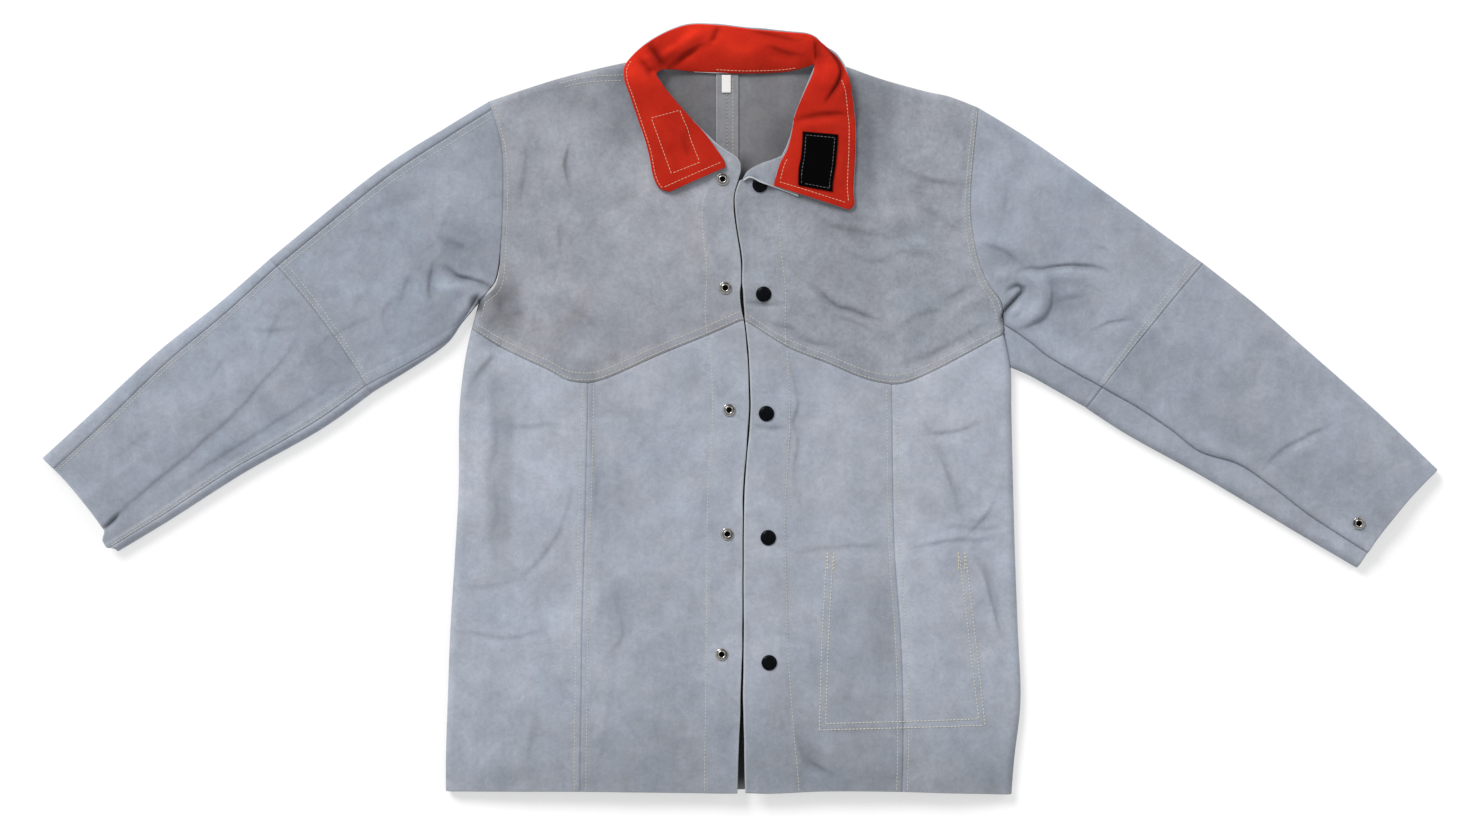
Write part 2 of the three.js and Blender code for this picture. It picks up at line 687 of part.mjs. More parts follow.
const COLLAR_STEPS = 28;
const COLLAR_SHARES = [0, 0.15, 0.4, 0.7, 1];

function collarGrid(inset) {
  const inside = (t) => inset + t * (1 - 2 * inset);
  const along = Array.from({ length: COLLAR_STEPS + 1 }, (_, step) => inside(step / COLLAR_STEPS));
  return gridOver(along, COLLAR_SHARES.map(inside), collarMiddle);
}

function offsetGrid(grid, distance) {
  const normals = gridNormals(grid);
  const up = normals[0][0].z > 0 ? 1 : -1;
  return grid.map((row, i) => row.map((p, j) => p.clone().addScaledVector(normals[i][j], up * distance)));
}

const FACING_RISE = COLLAR_GAP / 2 + COTTON / 2;

function hookPatch() {
  const { from, to, near, far } = PATCH_ROWS;
  const along = [0, 0.25, 0.5, 0.75, 1].map((t) => THREE.MathUtils.lerp(far, near, t));
  const across = [0, 0.5, 1].map((t) => THREE.MathUtils.lerp(from, to, t));
  const lastStation = COLLAR.length - 1;
  const grid = gridOver(along, across, (station, w) => collarMiddle(station / lastStation, w));
  const rise = FACING_RISE + COTTON / 2 + LAYER_GAP + TAPE / 2;
  return sheet(offsetGrid(grid, rise), TAPE);
}

function sizeLabel() {
  const lift = LEATHER / 2 + LAYER_GAP + TAPE + LAYER_GAP + LABEL / 2;
  const { x, top, width, length } = LABEL_SIZE;
  const at = (u, v) => plan(x + width * (u - 0.5), top - length * (1 - v));
  return sheet(gridOver([0, 1], [0, 1], (u, v) => onBack(at(u, v), lift)), LABEL);
}

// Turned corner of the left front: out of the yoke at the fold line, over a tight roll and back down flat
function turnedCorner() {
  const { fold, edge, roll, tuck } = TURNED_CORNER;
  const foldLine = straight(plan(fold[0].x, fold[0].y), plan(fold[1].x, fold[1].y));
  const edgeLine = straight(plan(edge[0].x, edge[0].y), plan(edge[1].x, edge[1].y));
  const outward = plan(fold[0].y - fold[1].y, fold[1].x - fold[0].x).normalize();
  const rollPoint = (t, angle) => {
    const foot = foldLine(t).addScaledVector(outward, roll * Math.sin(angle));
    return onFront(foldLine(t)).setX(foot.x).setY(foot.y).add(new THREE.Vector3(0, 0, roll * (1 - Math.cos(angle))));
  };
  const row = (t) => [
    onFront(foldLine(t).addScaledVector(outward, -tuck)),
    ...[0, 0.25, 0.5, 0.75, 1].map((turn) => rollPoint(t, Math.PI * turn)),
    onFront(foldLine(t).lerp(edgeLine(t), 0.5), 2 * roll),
    onFront(edgeLine(t), 2 * roll),
  ];
  return sheet([0, 0.33, 0.67, 1].map(row), LEATHER);
}

// Snaps: turned about their own axis and seated on the leather
function turned(profile) {
  const geometry = new THREE.LatheGeometry(profile.map(([r, h]) => plan(r, h)), SNAP_SIDES);
  return geometry.rotateX(Math.PI / 2);
}

function studShape() {
  const { base, rim, post, hole, baseHeight, height, depth } = STUD;
  return turned([
    [0, 0], [base / 2, 0], [base / 2, baseHeight], [rim / 2, baseHeight], [post / 2, height],
    [hole / 2, height], [hole / 2, height - depth], [0, height - depth],
  ]);
}

function capShape() {
  const { width, rise, edge, shoulder } = CAP;
  return turned([[0, 0], [width / 2, 0], [width / 2, edge], [shoulder, rise * 0.85], [0, rise]]);
}

function seated(geometry, seat) {
  const step = 6;
  const slope = (dx, dy) =>
    (frontHeight(seat.x + dx, seat.y + dy) - frontHeight(seat.x - dx, seat.y - dy)) / (2 * step);
  const normal = new THREE.Vector3(-slope(step, 0), -slope(0, step), 1).normalize();
  const foot = onFront(seat).addScaledVector(normal, LEATHER / 2 + LAYER_GAP);
  const turn = new THREE.Quaternion().setFromUnitVectors(new THREE.Vector3(0, 0, 1), normal);
  return geometry.applyQuaternion(turn).translate(foot.x, foot.y, foot.z);
}

// Assembly
const jacket = new THREE.Group();
jacket.name = "welding_jacket";

function addPiece(name, geometry, color, roughness = 0.9, metalness = 0) {
  const piece = new THREE.Mesh(geometry, new THREE.MeshStandardMaterial({ color, roughness, metalness }));
  piece.name = name;
  jacket.add(piece);
}

for (const side of ["right", "left"]) {
  const upperFront = side === "left" ? union(yoke(side), turnedCorner()) : yoke(side);
  addPiece(`${side}_yoke`, upperFront, GREY_LEATHER);
  addPiece(`${side}_front`, frontPanel(side), GREY_LEATHER);
  addPiece(`${side}_side`, sidePanel(side), GREY_LEATHER);
  addPiece(`${side}_back`, backPanel(side), GREY_LEATHER);
  for (const [name, geometry] of Object.entries(sleevePieces(side))) {
    addPiece(`${side}_${name}`, geometry, GREY_LEATHER);
  }
}

addPiece("back_seam_tape", backSeamTape(), INNER_LEATHER);
addPiece("inside_pocket", insidePocket(), INNER_LEATHER);
addPiece("collar_leather", sheet(offsetGrid(collarGrid(0), -(COLLAR_GAP + LEATHER) / 2), LEATHER), GREY_LEATHER);
addPiece("collar_facing", sheet(offsetGrid(collarGrid(FACING_INSET), FACING_RISE), COTTON), RED_COTTON);
addPiece("hook_patch", hookPatch(), HOOK_BLACK);
addPiece("size_label", sizeLabel(), WHITE_TAPE);

STUD_SEATS.forEach((seat, place) => {
  addPiece(`snap_stud_${place + 1}`, seated(studShape(), seat), NICKEL, 0.3, 1);
});
CAP_SEATS.forEach((seat, place) => {
  addPiece(`snap_cap_${place + 1}`, seated(capShape(), seat), CAP_BLACK, 0.4);
});
addPiece("cuff_stud", seated(studShape(), CUFF_STUD_SEAT), NICKEL, 0.3, 1);

export default jacket;
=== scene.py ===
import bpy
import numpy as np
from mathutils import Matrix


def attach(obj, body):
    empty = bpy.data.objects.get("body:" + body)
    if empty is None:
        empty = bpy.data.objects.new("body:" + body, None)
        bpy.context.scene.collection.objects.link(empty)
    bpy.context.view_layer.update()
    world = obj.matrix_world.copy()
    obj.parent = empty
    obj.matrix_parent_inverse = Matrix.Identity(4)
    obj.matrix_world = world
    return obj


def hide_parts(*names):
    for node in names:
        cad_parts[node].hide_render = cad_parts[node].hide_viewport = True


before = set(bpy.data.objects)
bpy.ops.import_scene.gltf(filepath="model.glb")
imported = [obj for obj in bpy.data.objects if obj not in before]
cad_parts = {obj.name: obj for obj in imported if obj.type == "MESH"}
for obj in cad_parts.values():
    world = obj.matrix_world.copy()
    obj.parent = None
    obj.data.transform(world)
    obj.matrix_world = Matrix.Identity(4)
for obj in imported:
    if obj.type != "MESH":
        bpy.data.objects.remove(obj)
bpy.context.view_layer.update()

# Looks of a welding jacket of grey split leather that lies flat on its back with its snaps open.
# Shapes are worked out in millimetres in the frame of the solids and turned into metres when a mesh is made.
# X runs to the wearer's left, Y towards the collar and Z up. Left and right are the wearer's.

METRES = 0.001

# Walls and gaps
LEATHER = 1.6
COTTON = 1.2
TAPE = 1.4
LABEL = 0.6
SEAM_GAP = 0.12
LAYER_GAP = 0.4
COLLAR_GAP = 1.0
POCKET_GAP = 1.3

# Loft of the lying jacket
FOLD_REACH = 8.0
EDGE_LOFT = 14.0
FOLD_MIDDLE = EDGE_LOFT / 2
CROWN_LOFT = 7.0
CROWN_REACH = 90.0
CREASE_FADE = 26.0

# Body heights
HEM_Y = -423.0
BACK_HEM_Y = -418.0
BACK_SEAM_X = -14.0
BACK_NECK_Y = 371.0
TAPE_WIDTH = 24.0
PLACKET_TOP = {"right": 270.0, "left": 253.0}
CHEST_SEAM_AT_EDGE = {"right": 98.0, "left": 97.0}
CHEST_SEAM_AT_SIDE = {"right": 89.0, "left": 84.0}
ARMPIT_Y = {"right": 121.0, "left": 84.0}
PANEL_SEAM_TOP = {"right": 30.0, "left": 29.0}
SIDES = ("right", "left")


def table(columns, rows):
    return [dict(zip(columns, row)) for row in rows]


# Cross-sections of the body: where each edge, panel seam and side fold lies at a height
TORSO_COLUMNS = ("y", "rightSide", "rightSeam", "rightEdge", "leftEdge", "leftSeam", "leftSide")
TORSO = table(TORSO_COLUMNS, [
    (262, None, None, 0, 4, None, None),
    (231, None, None, -8, -5, None, None),
    (163, None, None, -1, 4, None, None),
    (121, -286, None, 0, 4, None, None),
    (84, -296, None, 5, 8, None, 290),
    (48, -303, -167, 8, 11, 166, 297),
    (0, -308, -167, 9, 12, 167, 298),
    (-88, -309, -169, 3, 6, 168, 300),
    (-160, -313, -171, 2, 5, 170, 302),
    (-240, -318, -173, 2, 5, 176, 305),
    (-320, -321, -174, 0, 4, 179, 308),
    (-385, -323, -175, -2, 5, 179, 301),
    (-423, -323, -175, -3, 6, 178, 298),
])

# Chest seam from the front edge to the side
CHEST_SEAM = {
    "right": ((0, 98), (-40, 80), (-87, 61), (-138, 38), (-158, 31), (-175, 30),
              (-191, 33), (-211, 44), (-237, 56), (-265, 70), (-295, 89)),
    "left": ((8, 97), (52, 69), (99, 50), (132, 36), (154, 30), (178, 29),
             (207, 40), (242, 58), (290, 84)),
}
SHOULDER = {
    "right": ((-90, 386), (-127, 381), (-198, 364), (-276, 339)),
    "left": ((86, 387), (117, 377), (157, 363), (204, 350), (231, 344), (262, 332)),
}
NECKLINE = {
    "right": ((0, 270), (-4, 277), (-14, 284), (-24, 291), (-37, 303), (-60, 326),
              (-84, 350), (-94, 368), (-92, 386)),
    "left": ((4, 253), (13, 261), (24, 267), (43, 276), (54, 297), (62, 328), (75, 361), (86, 387)),
}
BACK_NECKLINE = {
    "right": ((BACK_SEAM_X, BACK_NECK_Y), (-42, 372), (-66, 375), (-90, 386)),
    "left": ((BACK_SEAM_X, BACK_NECK_Y), (28, 372), (61, 376), (86, 387)),
}
ARMHOLE = {
    "right": ((-276, 339), (-262, 290), (-260, 242), (-262, 189), (-267, 140), (-286, 121)),
    "left": ((262, 332), (253, 235), (258, 180), (271, 141), (287, 117), (290, 84)),
}
HEAD_ON_ARMHOLE = {"right": 1.0, "left": 0.85}
ARMPIT_CLEARANCE = {"right": (-3, 3), "left": (0.8, 0.8)}
CLEARANCE_FROM = 0.6

# Cross-sections of the sleeves from the sleeve head to the cuff: the top fold and the bottom fold
SLEEVE_COLUMNS = ("topX", "topY", "bottomX", "bottomY")
ELBOW_ROW = 3
SLEEVE = {
    "right": table(SLEEVE_COLUMNS, [
        (-276, 339, -289, 124),
        (-324, 310, -308, 94),
        (-400, 261, -331, 67),
        (-517, 166, -406, 19),
        (-572, 118, -462, -21),
        (-641, 63, -547, -69),
        (-710, -1, -627, -120),
        (-767, -53, -685, -155),
    ]),
    "left": table(SLEEVE_COLUMNS, [
        (262, 332, 298.2, 47),
        (319, 297, 319, 38),
        (400, 240, 346, 23),
        (509, 161, 381, 3),
        (566, 116, 429, -28),
        (622, 67, 512, -74),
        (700, -2, 616, -136),
        (767, -66, 679, -173),
    ]),
}
ELBOW_BOW = {"right": 6, "left": 2}
CUFF_BOW = {"right": 6, "left": 5}
# Rounded tab that stands out of the right cuff near its lower corner
CUFF_TAB = {"share": 0.89, "reach": 0.065, "size": 8.0}

# Top and bottom seam of each part as shares of the way round the arm, at even stops down the part:
# 0 is the top fold, 1 the bottom fold, and the back layer runs on from 1 to 2
SLEEVE_SEAMS = {
    "right": {
        "upper_sleeve": ((0.04, 0.06), (0.985, 0.95)),
        "forearm": ((0.06, 0.13), (0.95, 0.94)),
    },
    "left": {
        "upper_sleeve": ((-0.08, -0.08), (0.82, 0.842, 0.862, 0.862, 0.862)),
        "forearm": ((-0.08, -0.08), (0.862, 0.846, 0.855, 0.878, 0.822, 0.828, 0.848, 0.858, 0.858)),
    },
}
UPPER_LENGTH = 250.0
FOREARM_LENGTH = 320.0
SLEEVE_GIRTH = 190.0
SEAM_WAVE = {"size": 42.0, "share": 0.004, "seed": 61}
BOTTOM_SEAM = {"right": "lapped", "left": "rolled"}
ARMHOLE_SEAM = {"right": "pressed", "left": "lapped"}

# Folds of the front layer: a ridge (+) or a dent (-) along a smooth curve through points
FOLD_COLUMNS = ("reach", "height", "points")
CREASES = table(FOLD_COLUMNS, [
    # right sleeve
    (2.4, -3.5, ((-698, -132), (-681, -115))),
    (5.5, -1.8, ((-700, -134), (-624, -66), (-557, -7), (-523, 32), (-489, 71), (-478, 105))),
    (14, 1.2, ((-676, -100), (-590, -24))),
    (7, -1.3, ((-618, -84), (-556, -44), (-490, -4), (-440, 30))),
    (10, 1.2, ((-640, -96), (-560, -30))),
    (4, -1.2, ((-540, 88), (-512, 86), (-486, 89))),
    (7, -1.2, ((-520, 70), (-500, 110))),
    (8, -1.0, ((-590, 20), (-560, 60))),
    (8, -1.0, ((-690, -60), (-640, -20))),
    (10, -1.4, ((-470, 60), (-436, 84), (-400, 100))),
    (10, -1.4, ((-440, 160), (-390, 130))),
    (16, -1.4, ((-420, 205), (-330, 240))),
    (12, -1.4, ((-310, 230), (-330, 180))),
    (9, -1.8, ((-360, 150), (-372, 110))),
    (7, -1.6, ((-382, 118), (-388, 105), (-384, 77))),
    (6, -2.8, ((-337, 161), (-341, 135), (-335, 116))),
    (9, -2.4, ((-330, 186), (-314, 178), (-300, 168))),
    (3.6, -4.2, ((-326, 155), (-312, 145), (-297, 142), (-279, 136), (-268, 120))),
    (8, 3.2, ((-334, 132), (-310, 132), (-290, 127))),
    # right body
    (11, -4.0, ((-263, 127), (-258, 108), (-251, 90))),
    (7, 2.4, ((-280, 118), (-274, 100))),
    (7, -2.2, ((-246, 112), (-232, 88))),
    (3.4, -3.4, ((-186, 292), (-191, 271), (-189, 254), (-184, 240))),
    (11, -2.8, ((-229, 296), (-233, 259), (-239, 225))),
    (5, -1.8, ((-199, 200), (-195, 166))),
    (10, -1.4, ((-214, 180), (-206, 130))),
    (16, -2.4, ((-186, 346), (-166, 332), (-146, 322))),
    (14, -1.6, ((-120, 330), (-140, 290))),
    (10, -2.0, ((-82, 236), (-75, 206))),
    (12, -1.6, ((-128, 238), (-77, 200))),
    (14, 1.4, ((-150, 214), (-100, 170))),
    (14, -1.6, ((-210, 120), (-150, 80))),
    (16, 1.4, ((-120, 150), (-60, 190))),
    (10, -1.4, ((-70, 240), (-40, 200))),
    (8, -3.4, ((-290, 84), (-268, 62), (-286, 41), (-295, 18))),
    (16, -3.8, ((-288, 32), (-267, 8), (-261, -20), (-262, -44), (-269, -68), (-264, -90), (-260, -108),
                (-266, -130), (-282, -158))),
    (4, -0.9, ((-252, -19), (-234, -20), (-212, -17), (-190, -19))),
    (6, -2.2, ((-206, 58), (-196, 44), (-188, 37))),
    (6, -1.6, ((-160, 48), (-161, -29), (-155, -86), (-159, -144))),
    (9, -1.4, ((-80, 42), (-70, 18))),
    (8, -1.2, ((-146, -96), (-150, -240))),
    (3.4, -1.4, ((-182, -84), (-189, -115), (-202, -142), (-221, -168), (-243, -188))),
    (5, -1.0, ((-239, -184), (-270, -194), (-300, -196))),
    (4, -1.1, ((-312, -242), (-259, -251), (-214, -242))),
    (8, -2.4, ((-136, -192), (-126, -230), (-127, -252), (-143, -272))),
    (12, -1.4, ((-141, -274), (-136, -308), (-144, -349))),
    (16, 1.0, ((-108, -150), (-112, -250))),
    (20, -1.2, ((-100, -60), (-60, -150))),
    (16, -1.2, ((-250, -330), (-200, -370))),
    (8, -1.2, ((-230, -390), (-222, -330))),
    (12, -1.0, ((-140, -320), (-150, -400))),
    # left sleeve
    (3.2, -3.8, ((304, 152), (316, 155), (336, 156), (361, 159), (388, 157), (404, 152))),
    (9, 2.4, ((320, 145), (358, 148), (398, 143))),
    (6, -3.0, ((267, 180), (290, 171), (312, 154))),
    (8, 1.8, ((280, 188), (302, 178), (324, 168))),
    (2.8, -6.0, ((294, 132), (305, 137), (309, 131), (301, 122), (291, 111), (287, 99), (290, 84))),
    (7, 2.6, ((280, 150), (296, 145))),
    (8, 4.6, ((313, 150), (327, 138), (331, 121), (325, 106), (312, 97))),
    (6.5, -3.4, ((338, 150), (344, 134), (343, 114), (333, 98), (314, 88), (298, 86))),
    (6, 2.6, ((299, 114), (305, 104))),
    (8, -1.8, ((344, 116), (362, 121), (383, 126))),
    (3.4, -1.4, ((390, 90), (410, 97), (431, 99))),
    (4, -1.6, ((392, 179), (400, 175), (410, 168))),
    (12, -1.4, ((290, 200), (300, 250))),
    (14, -1.4, ((320, 240), (380, 200))),
    (10, 1.2, ((400, 130), (440, 110))),
    (4, -2.2, ((578, -63), (600, -43), (626, -28), (656, -13))),
    (10, 1.2, ((590, -66), (640, -22))),
    (14, -1.4, ((470, 60), (520, 20))),
    (10, 1.0, ((450, 100), (480, 60))),
    (10, -1.2, ((560, 40), (600, 10))),
    (10, -1.2, ((640, -60), (690, -100))),
    (6, -1.2, ((620, 30), (640, -10))),
    (9, -1.6, ((500, -40), (560, -70))),
    # left body
    (3.8, -3.2, ((78, 137), (92, 124), (109, 111), (125, 107), (155, 95))),
    (7, 1.6, ((98, 126), (140, 111))),
    (5, -2.0, ((18, 95), (50, 90), (64, 79), (82, 72), (112, 69))),
    (6, -2.0, ((104, 183), (130, 166), (172, 162))),
    (6, -1.8, ((196, 222), (222, 206), (248, 187))),
    (9, -1.8, ((88, 107), (150, 81))),
    (7, -2.4, ((176, 89), (197, 103), (222, 110))),
    (8, -2.0, ((180, 52), (214, 61), (248, 82), (280, 96))),
    (7, 1.6, ((220, 100), (262, 126))),
    (6, -2.6, ((157, 288), (168, 274), (182, 262), (212, 250), (246, 245))),
    (9, 1.8, ((160, 302), (190, 282), (222, 270))),
    (9, -2.6, ((75, 219), (98, 200), (134, 193), (176, 187))),
    (9, 1.4, ((110, 222), (150, 214), (200, 206))),
    (11, -1.7, ((138, 150), (163, 166), (189, 170), (231, 157))),
    (12, -1.8, ((120, 330), (160, 318))),
    (5, -1.8, ((223, 119), (249, 135))),
    (3.6, -1.8, ((198, -12), (211, -25), (238, -24), (262, -15))),
    (8, 1.0, ((214, -36), (250, -36))),
    (3.2, -2.2, ((211, -32), (224, -58), (236, -90), (245, -122))),
    (4.5, -1.2, ((250, -138), (273, -111), (292, -72))),
    (4, -1.3, ((186, -152), (212, -147), (236, -143), (262, -144), (282, -141))),
    (4, -1.0, ((211, -133), (236, -129), (270, -131), (296, -124))),
    (6, 1.2, ((240, -124), (292, -100))),
    (4, -3.0, ((252, -154), (268, -178), (281, -213), (291, -257))),
    (4, -0.9, ((60, -158), (113, -152), (164, -148))),
    (4.5, -1.8, ((54, 58), (61, 28), (66, 8), (61, -14), (65, -30), (60, -56), (61, -91))),
    (2.4, -2.6, ((8, 116), (30, 115), (47, 116))),
    (2.4, -1.6, ((14, -19), (34, -20), (50, -18))),
    (5, -2.8, ((61, -348), (66, -368), (76, -386), (106, -404))),
    (9, 1.6, ((84, -362), (120, -396))),
    (16, -1.2, ((150, -240), (120, -330))),
    (14, 0.8, ((190, -200), (200, -300))),
    (10, 1.0, ((230, -60), (226, -110))),
])
PATH_STEPS = 4
FOLD_SPAN = 3.0
FOLD_TAPER = 0.35
# Folds wander a little from their curves and swell and fade along them
FOLD_DRIFTS = table(("size", "shift", "seed"), [(55, 2.0, 11), (15, 0.9, 13)])
FOLD_SWING = {"size": 24.0, "share": 0.3, "seed": 15}
# A dent leans: its shaded wall, on the side towards this direction, is the steeper one
LEAN_TOWARDS = (-0.6, 0.8)
STEEP_SIDE = 0.5
GENTLE_SIDE = 1.4
LEAN_BETWEEN = (-0.4, 0.4)
LEAST_REACH = 2.0

# Slow swells and fine wrinkles of the leather
SWELL_COLUMNS = ("size", "height", "seed")
SWELLS = table(SWELL_COLUMNS, [
    (130, 1.2, 21),
    (58, 0.85, 22),
    (26, 0.42, 23),
    (11, 0.13, 24),
    (5, 0.05, 25),
])

# Collar stations from the right front end round the neck to the left front end
COLLAR_COLUMNS = ("neckX", "neckY", "neckZ", "outerX", "outerY", "outerZ")
COLLAR = table(COLLAR_COLUMNS, [
    (-15, 266, None, -77, 239, None),
    (-17, 274, None, -89, 243, None),
    (-23, 283, None, -96, 257, None),
    (-38, 303, None, -101, 283, None),
    (-59, 326, None, -112, 318, None),
    (-75, 344, 20, -121, 345, 23),
    (-86, 358, 21, -127, 364, 25),
    (-92, 369, 18, -124, 381, 26),
    (-81, 375, 11, -99, 404, 28),
    (-52, 373, 4, -62, 421, 30),
    (-26, 372, 4, -27, 422, 31),
    (8, 371, 4, 9, 418, 31),
    (50, 373, 4, 52, 414, 31),
    (74, 378, 10, 77, 411, 30),
    (82, 380, 16, 92, 400, 29),
    (82, 375, 19, 109, 385, 27),
    (79, 366, 21, 119, 365, 26),
    (71, 350, 21, 124, 340, 24),
    (60, 324, None, 127, 312, None),
    (56, 303, None, 127, 290, None),
    (51, 285, None, 126, 262, None),
    (43, 270, None, 125, 240, None),
    (38, 253, None, 126, 225, None),
    (36, 246, None, 120, 219, None),
])
LAST_STATION = len(COLLAR) - 1
COLLAR_LIFT = LEATHER / 2 + LAYER_GAP + LEATHER + COLLAR_GAP / 2
COLLAR_ARCH = 3.0
FACING_RISE = COLLAR_GAP / 2 + COTTON / 2
COLLAR_FOLDS = table(FOLD_COLUMNS, [
    (3.8, -5.5, ((-74, 378), (-60, 390), (-44, 399))),
    (6, 3, ((-66, 396), (-40, 415))),
    (5, 2.5, ((-86, 386), (-66, 398))),
    (3.8, -4.3, ((-98, 402), (-86, 384), (-80, 376))),
    (4, -3, ((-108, 386), (-94, 366))),
    (6, 2, ((-96, 374), (-102, 392))),
    (4, -3, ((-22, 420), (-32, 402))),
    (3.5, -3.6, ((82, 404), (85, 382))),
    (3, -5.8, ((88, 404), (103, 387), (111, 369), (106, 353), (96, 339))),
    (6, 2.4, ((98, 378), (93, 350))),
    (5, 2, ((118, 362), (112, 340))),
    (3.3, -3.8, ((58, 318), (76, 321), (98, 324), (119, 325))),
    (6, 2.4, ((62, 311), (112, 314))),
    (7, -2.4, ((14, 414), (62, 404))),
    (6, -2.4, ((30, 398), (64, 388))),
    (9, 1.6, ((-20, 392), (20, 388))),
    (4, -2, ((-64, 304), (-52, 276))),
    (5, 1.4, ((-82, 306), (-66, 268))),
    (4, -1.8, ((-76, 290), (-66, 266))),
    (4, -1.6, ((-60, 316), (-54, 298))),
    (8, -1.6, ((118, 280), (114, 240))),
])
# Painted shade in folds and painted light on ridges, for leather and cotton by how steep each fold is,
# between these least and greatest factors
FOLD_PAINTED_SHADE_AND_LIGHT = {"leather": 0.25, "cotton": 0.34}
FOLD_SHADES = (0.5, 1.08)
# Corner of the left front that is turned back over the top snap
CORNER_FOLD = ((4, 252), (8, 258), (14, 262), (24, 267), (42, 275), (58, 283))
CORNER_EDGE = ((4, 251.5), (9, 254.5), (14, 254), (23, 249), (39, 243.5), (54, 238), (64, 234))
CORNER_ROLL = {"start": 1.0, "open": 2.6, "covered": 1.3}
CORNER_OPENS = (0, 0.25)
CORNER_COVERED = (0.4, 0.75)
CORNER_TUCK = 3.0
CORNER_CURL = {"height": 0.9, "size": 9, "seed": 51}
CORNER_LIP = {"height": 2.8, "rises": (0.75, 1), "fades": (0.4, 0.65)}
CORNER_GRID = {"along": 48, "roll": 12, "flap": 14}
CORNER_FLAP_FROM = 0.1
CORNER_PALENESS = 1.0
CORNER_UNDER_COLLAR = {"x": 48, "y": 264, "reach": 16, "height": 2.6}

# Inside pocket, label, hook patch and the stitched square on the right collar leaf
POCKET_LEFT = ((87, -351), (90, -253), (95, -160))
POCKET_RIGHT = ((269, -346), (260, -264), (248, -160))
LABEL_SIZE = {"x": -15.0, "top": 369.0, "width": 10.0, "length": 19.5}
PATCH_CORNERS = ((69, 305), (107, 301), (101, 239), (64, 246))
LOOP_SQUARE = ((-97, 320), (-66, 328), (-44, 271), (-75, 259))

# Snaps, listed from the collar down
STUD_SEATS = ((-19, 253), (-16, 134), (-12, 0), (-14, -136), (-20, -268))
CAP_SEATS = ((22, 247), (26, 127), (29, -4), (31, -140), (32, -277))
CUFF_STUD_SEAT = (679, -124)
SNAP_SIDES = 40
SNAP_LIFT = 0.7

# Stitching
STITCH_PITCH = 4.0
STITCH_LENGTH = 3.2
THREAD = {"fine": 0.34, "plain": 0.42, "heavy": 0.62}
STITCH_SIDES = 5

# Brightness and warmth of each piece's leather; the inside back pieces are darkened partly as painted shade
# of the jacket's inside
LOOK = {
    "right_yoke": (0.885, 0.3), "left_yoke": (0.83, 0.2),
    "right_front": (1.02, 0.0), "left_front": (1.0, 0.0),
    "right_side": (1.09, 0.0), "left_side": (1.11, 0.0),
    "right_back": (0.53, 0.8), "left_back": (0.53, 0.8),
    "right_upper_sleeve_front": (0.85, -0.2), "right_upper_sleeve_back": (0.88, -0.2),
    "right_forearm_front": (0.92, -0.2), "right_forearm_back": (0.96, -0.2),
    "left_upper_sleeve_front": (0.92, -0.1), "left_upper_sleeve_back": (0.93, -0.1),
    "left_forearm_front": (0.90, -0.1), "left_forearm_back": (0.94, -0.1),
    "back_seam_tape": (0.66, 0.7), "inside_pocket": (0.95, 0.0), "collar_leather": (0.95, 0.0),
}
# How much patchier and rougher the worn yokes are
WORN = {"right_yoke": 1.35, "left_yoke": 1.55}
# Broad and middling patches of tone
TONE_CLOUDS = table(("size", "share", "seed"), [(85, 0.05, 31), (34, 0.06, 32), (16, 0.04, 33)])
# Darker towards the hem
HEM_SHADE = {"low": -425.0, "high": -250.0, "gain": -0.31}
# Painted shade and painted light on each piece, with some patches of the hide's own colour: their middle, how
# far they reach along X and Y, and their gain
# Among them the collar's painted shadow, painted shade in the armpit recesses, under the turned corner and in
# the front gap, along folds, and painted light on swells
PAINTED_LIGHT_AND_TONE_PATCHES = {
    "right_yoke": [
        (-262, 116, 24, 34, -0.34), (-287, 116, 5, 8, -0.6), (-120, 80, 130, 50, -0.08),
        (-128, 330, 36, 48, -0.30), (-205, 345, 46, 22, -0.18), (-138, 229, 26, 10, -0.08),
    ],
    "right_front": [(-130, -235, 13, 42, -0.07)],
    "right_side": [
        (-285, 50, 30, 50, -0.07), (-262, -18, 15, 50, -0.20), (-265, -104, 15, 48, -0.18),
        (-196, -70, 28, 90, 0.09), (-240, -398, 70, 36, 0.12),
    ],
    "right_back": [(-46, 325, 26, 46, -0.24)],
    "right_upper_sleeve_front": [
        (-303, 169, 24, 16, -0.14), (-290, 119, 7, 7, -0.55),
        (-408, 84, 62, 60, 0.16), (-312, 136, 26, 24, 0.12),
    ],
    "right_forearm_front": [(-752, -52, 26, 26, -0.18)],
    "left_yoke": [
        (136, 325, 34, 52, -0.28), (132, 285, 16, 70, -0.24), (176, 77, 26, 20, -0.12),
        (172, 330, 40, 40, -0.10), (26, 261, 26, 13, 0.05), (2, 196, 8, 48, -0.12),
        (150, 130, 110, 90, -0.04),
    ],
    "left_front": [
        (110, 15, 46, 46, 0.10), (136, -254, 38, 96, -0.15), (160, -250, 16, 84, -0.12),
        (74, -376, 14, 30, -0.04), (62, -300, 34, 40, -0.11),
    ],
    "left_side": [(236, -200, 60, 100, -0.08)],
    "left_back": [(46, 297, 24, 30, -0.15), (4, 262, 8, 14, -0.7), (4, -335, 14, 110, -0.6)],
    "left_upper_sleeve_front": [
        (358, 118, 30, 12, -0.10), (292, 168, 22, 9, -0.10), (306, 200, 34, 60, -0.06),
        (372, 40, 56, 34, 0.15), (352, 209, 22, 22, 0.13),
    ],
}


# Curves and patches in plan

TINY = 1e-9


def smoothstep(value, low, high):
    t = np.clip((value - low) / (high - low), 0, 1)
    return t * t * (3 - 2 * t)


def bell(distance, reach):
    return np.exp(-(distance / reach) ** 2)


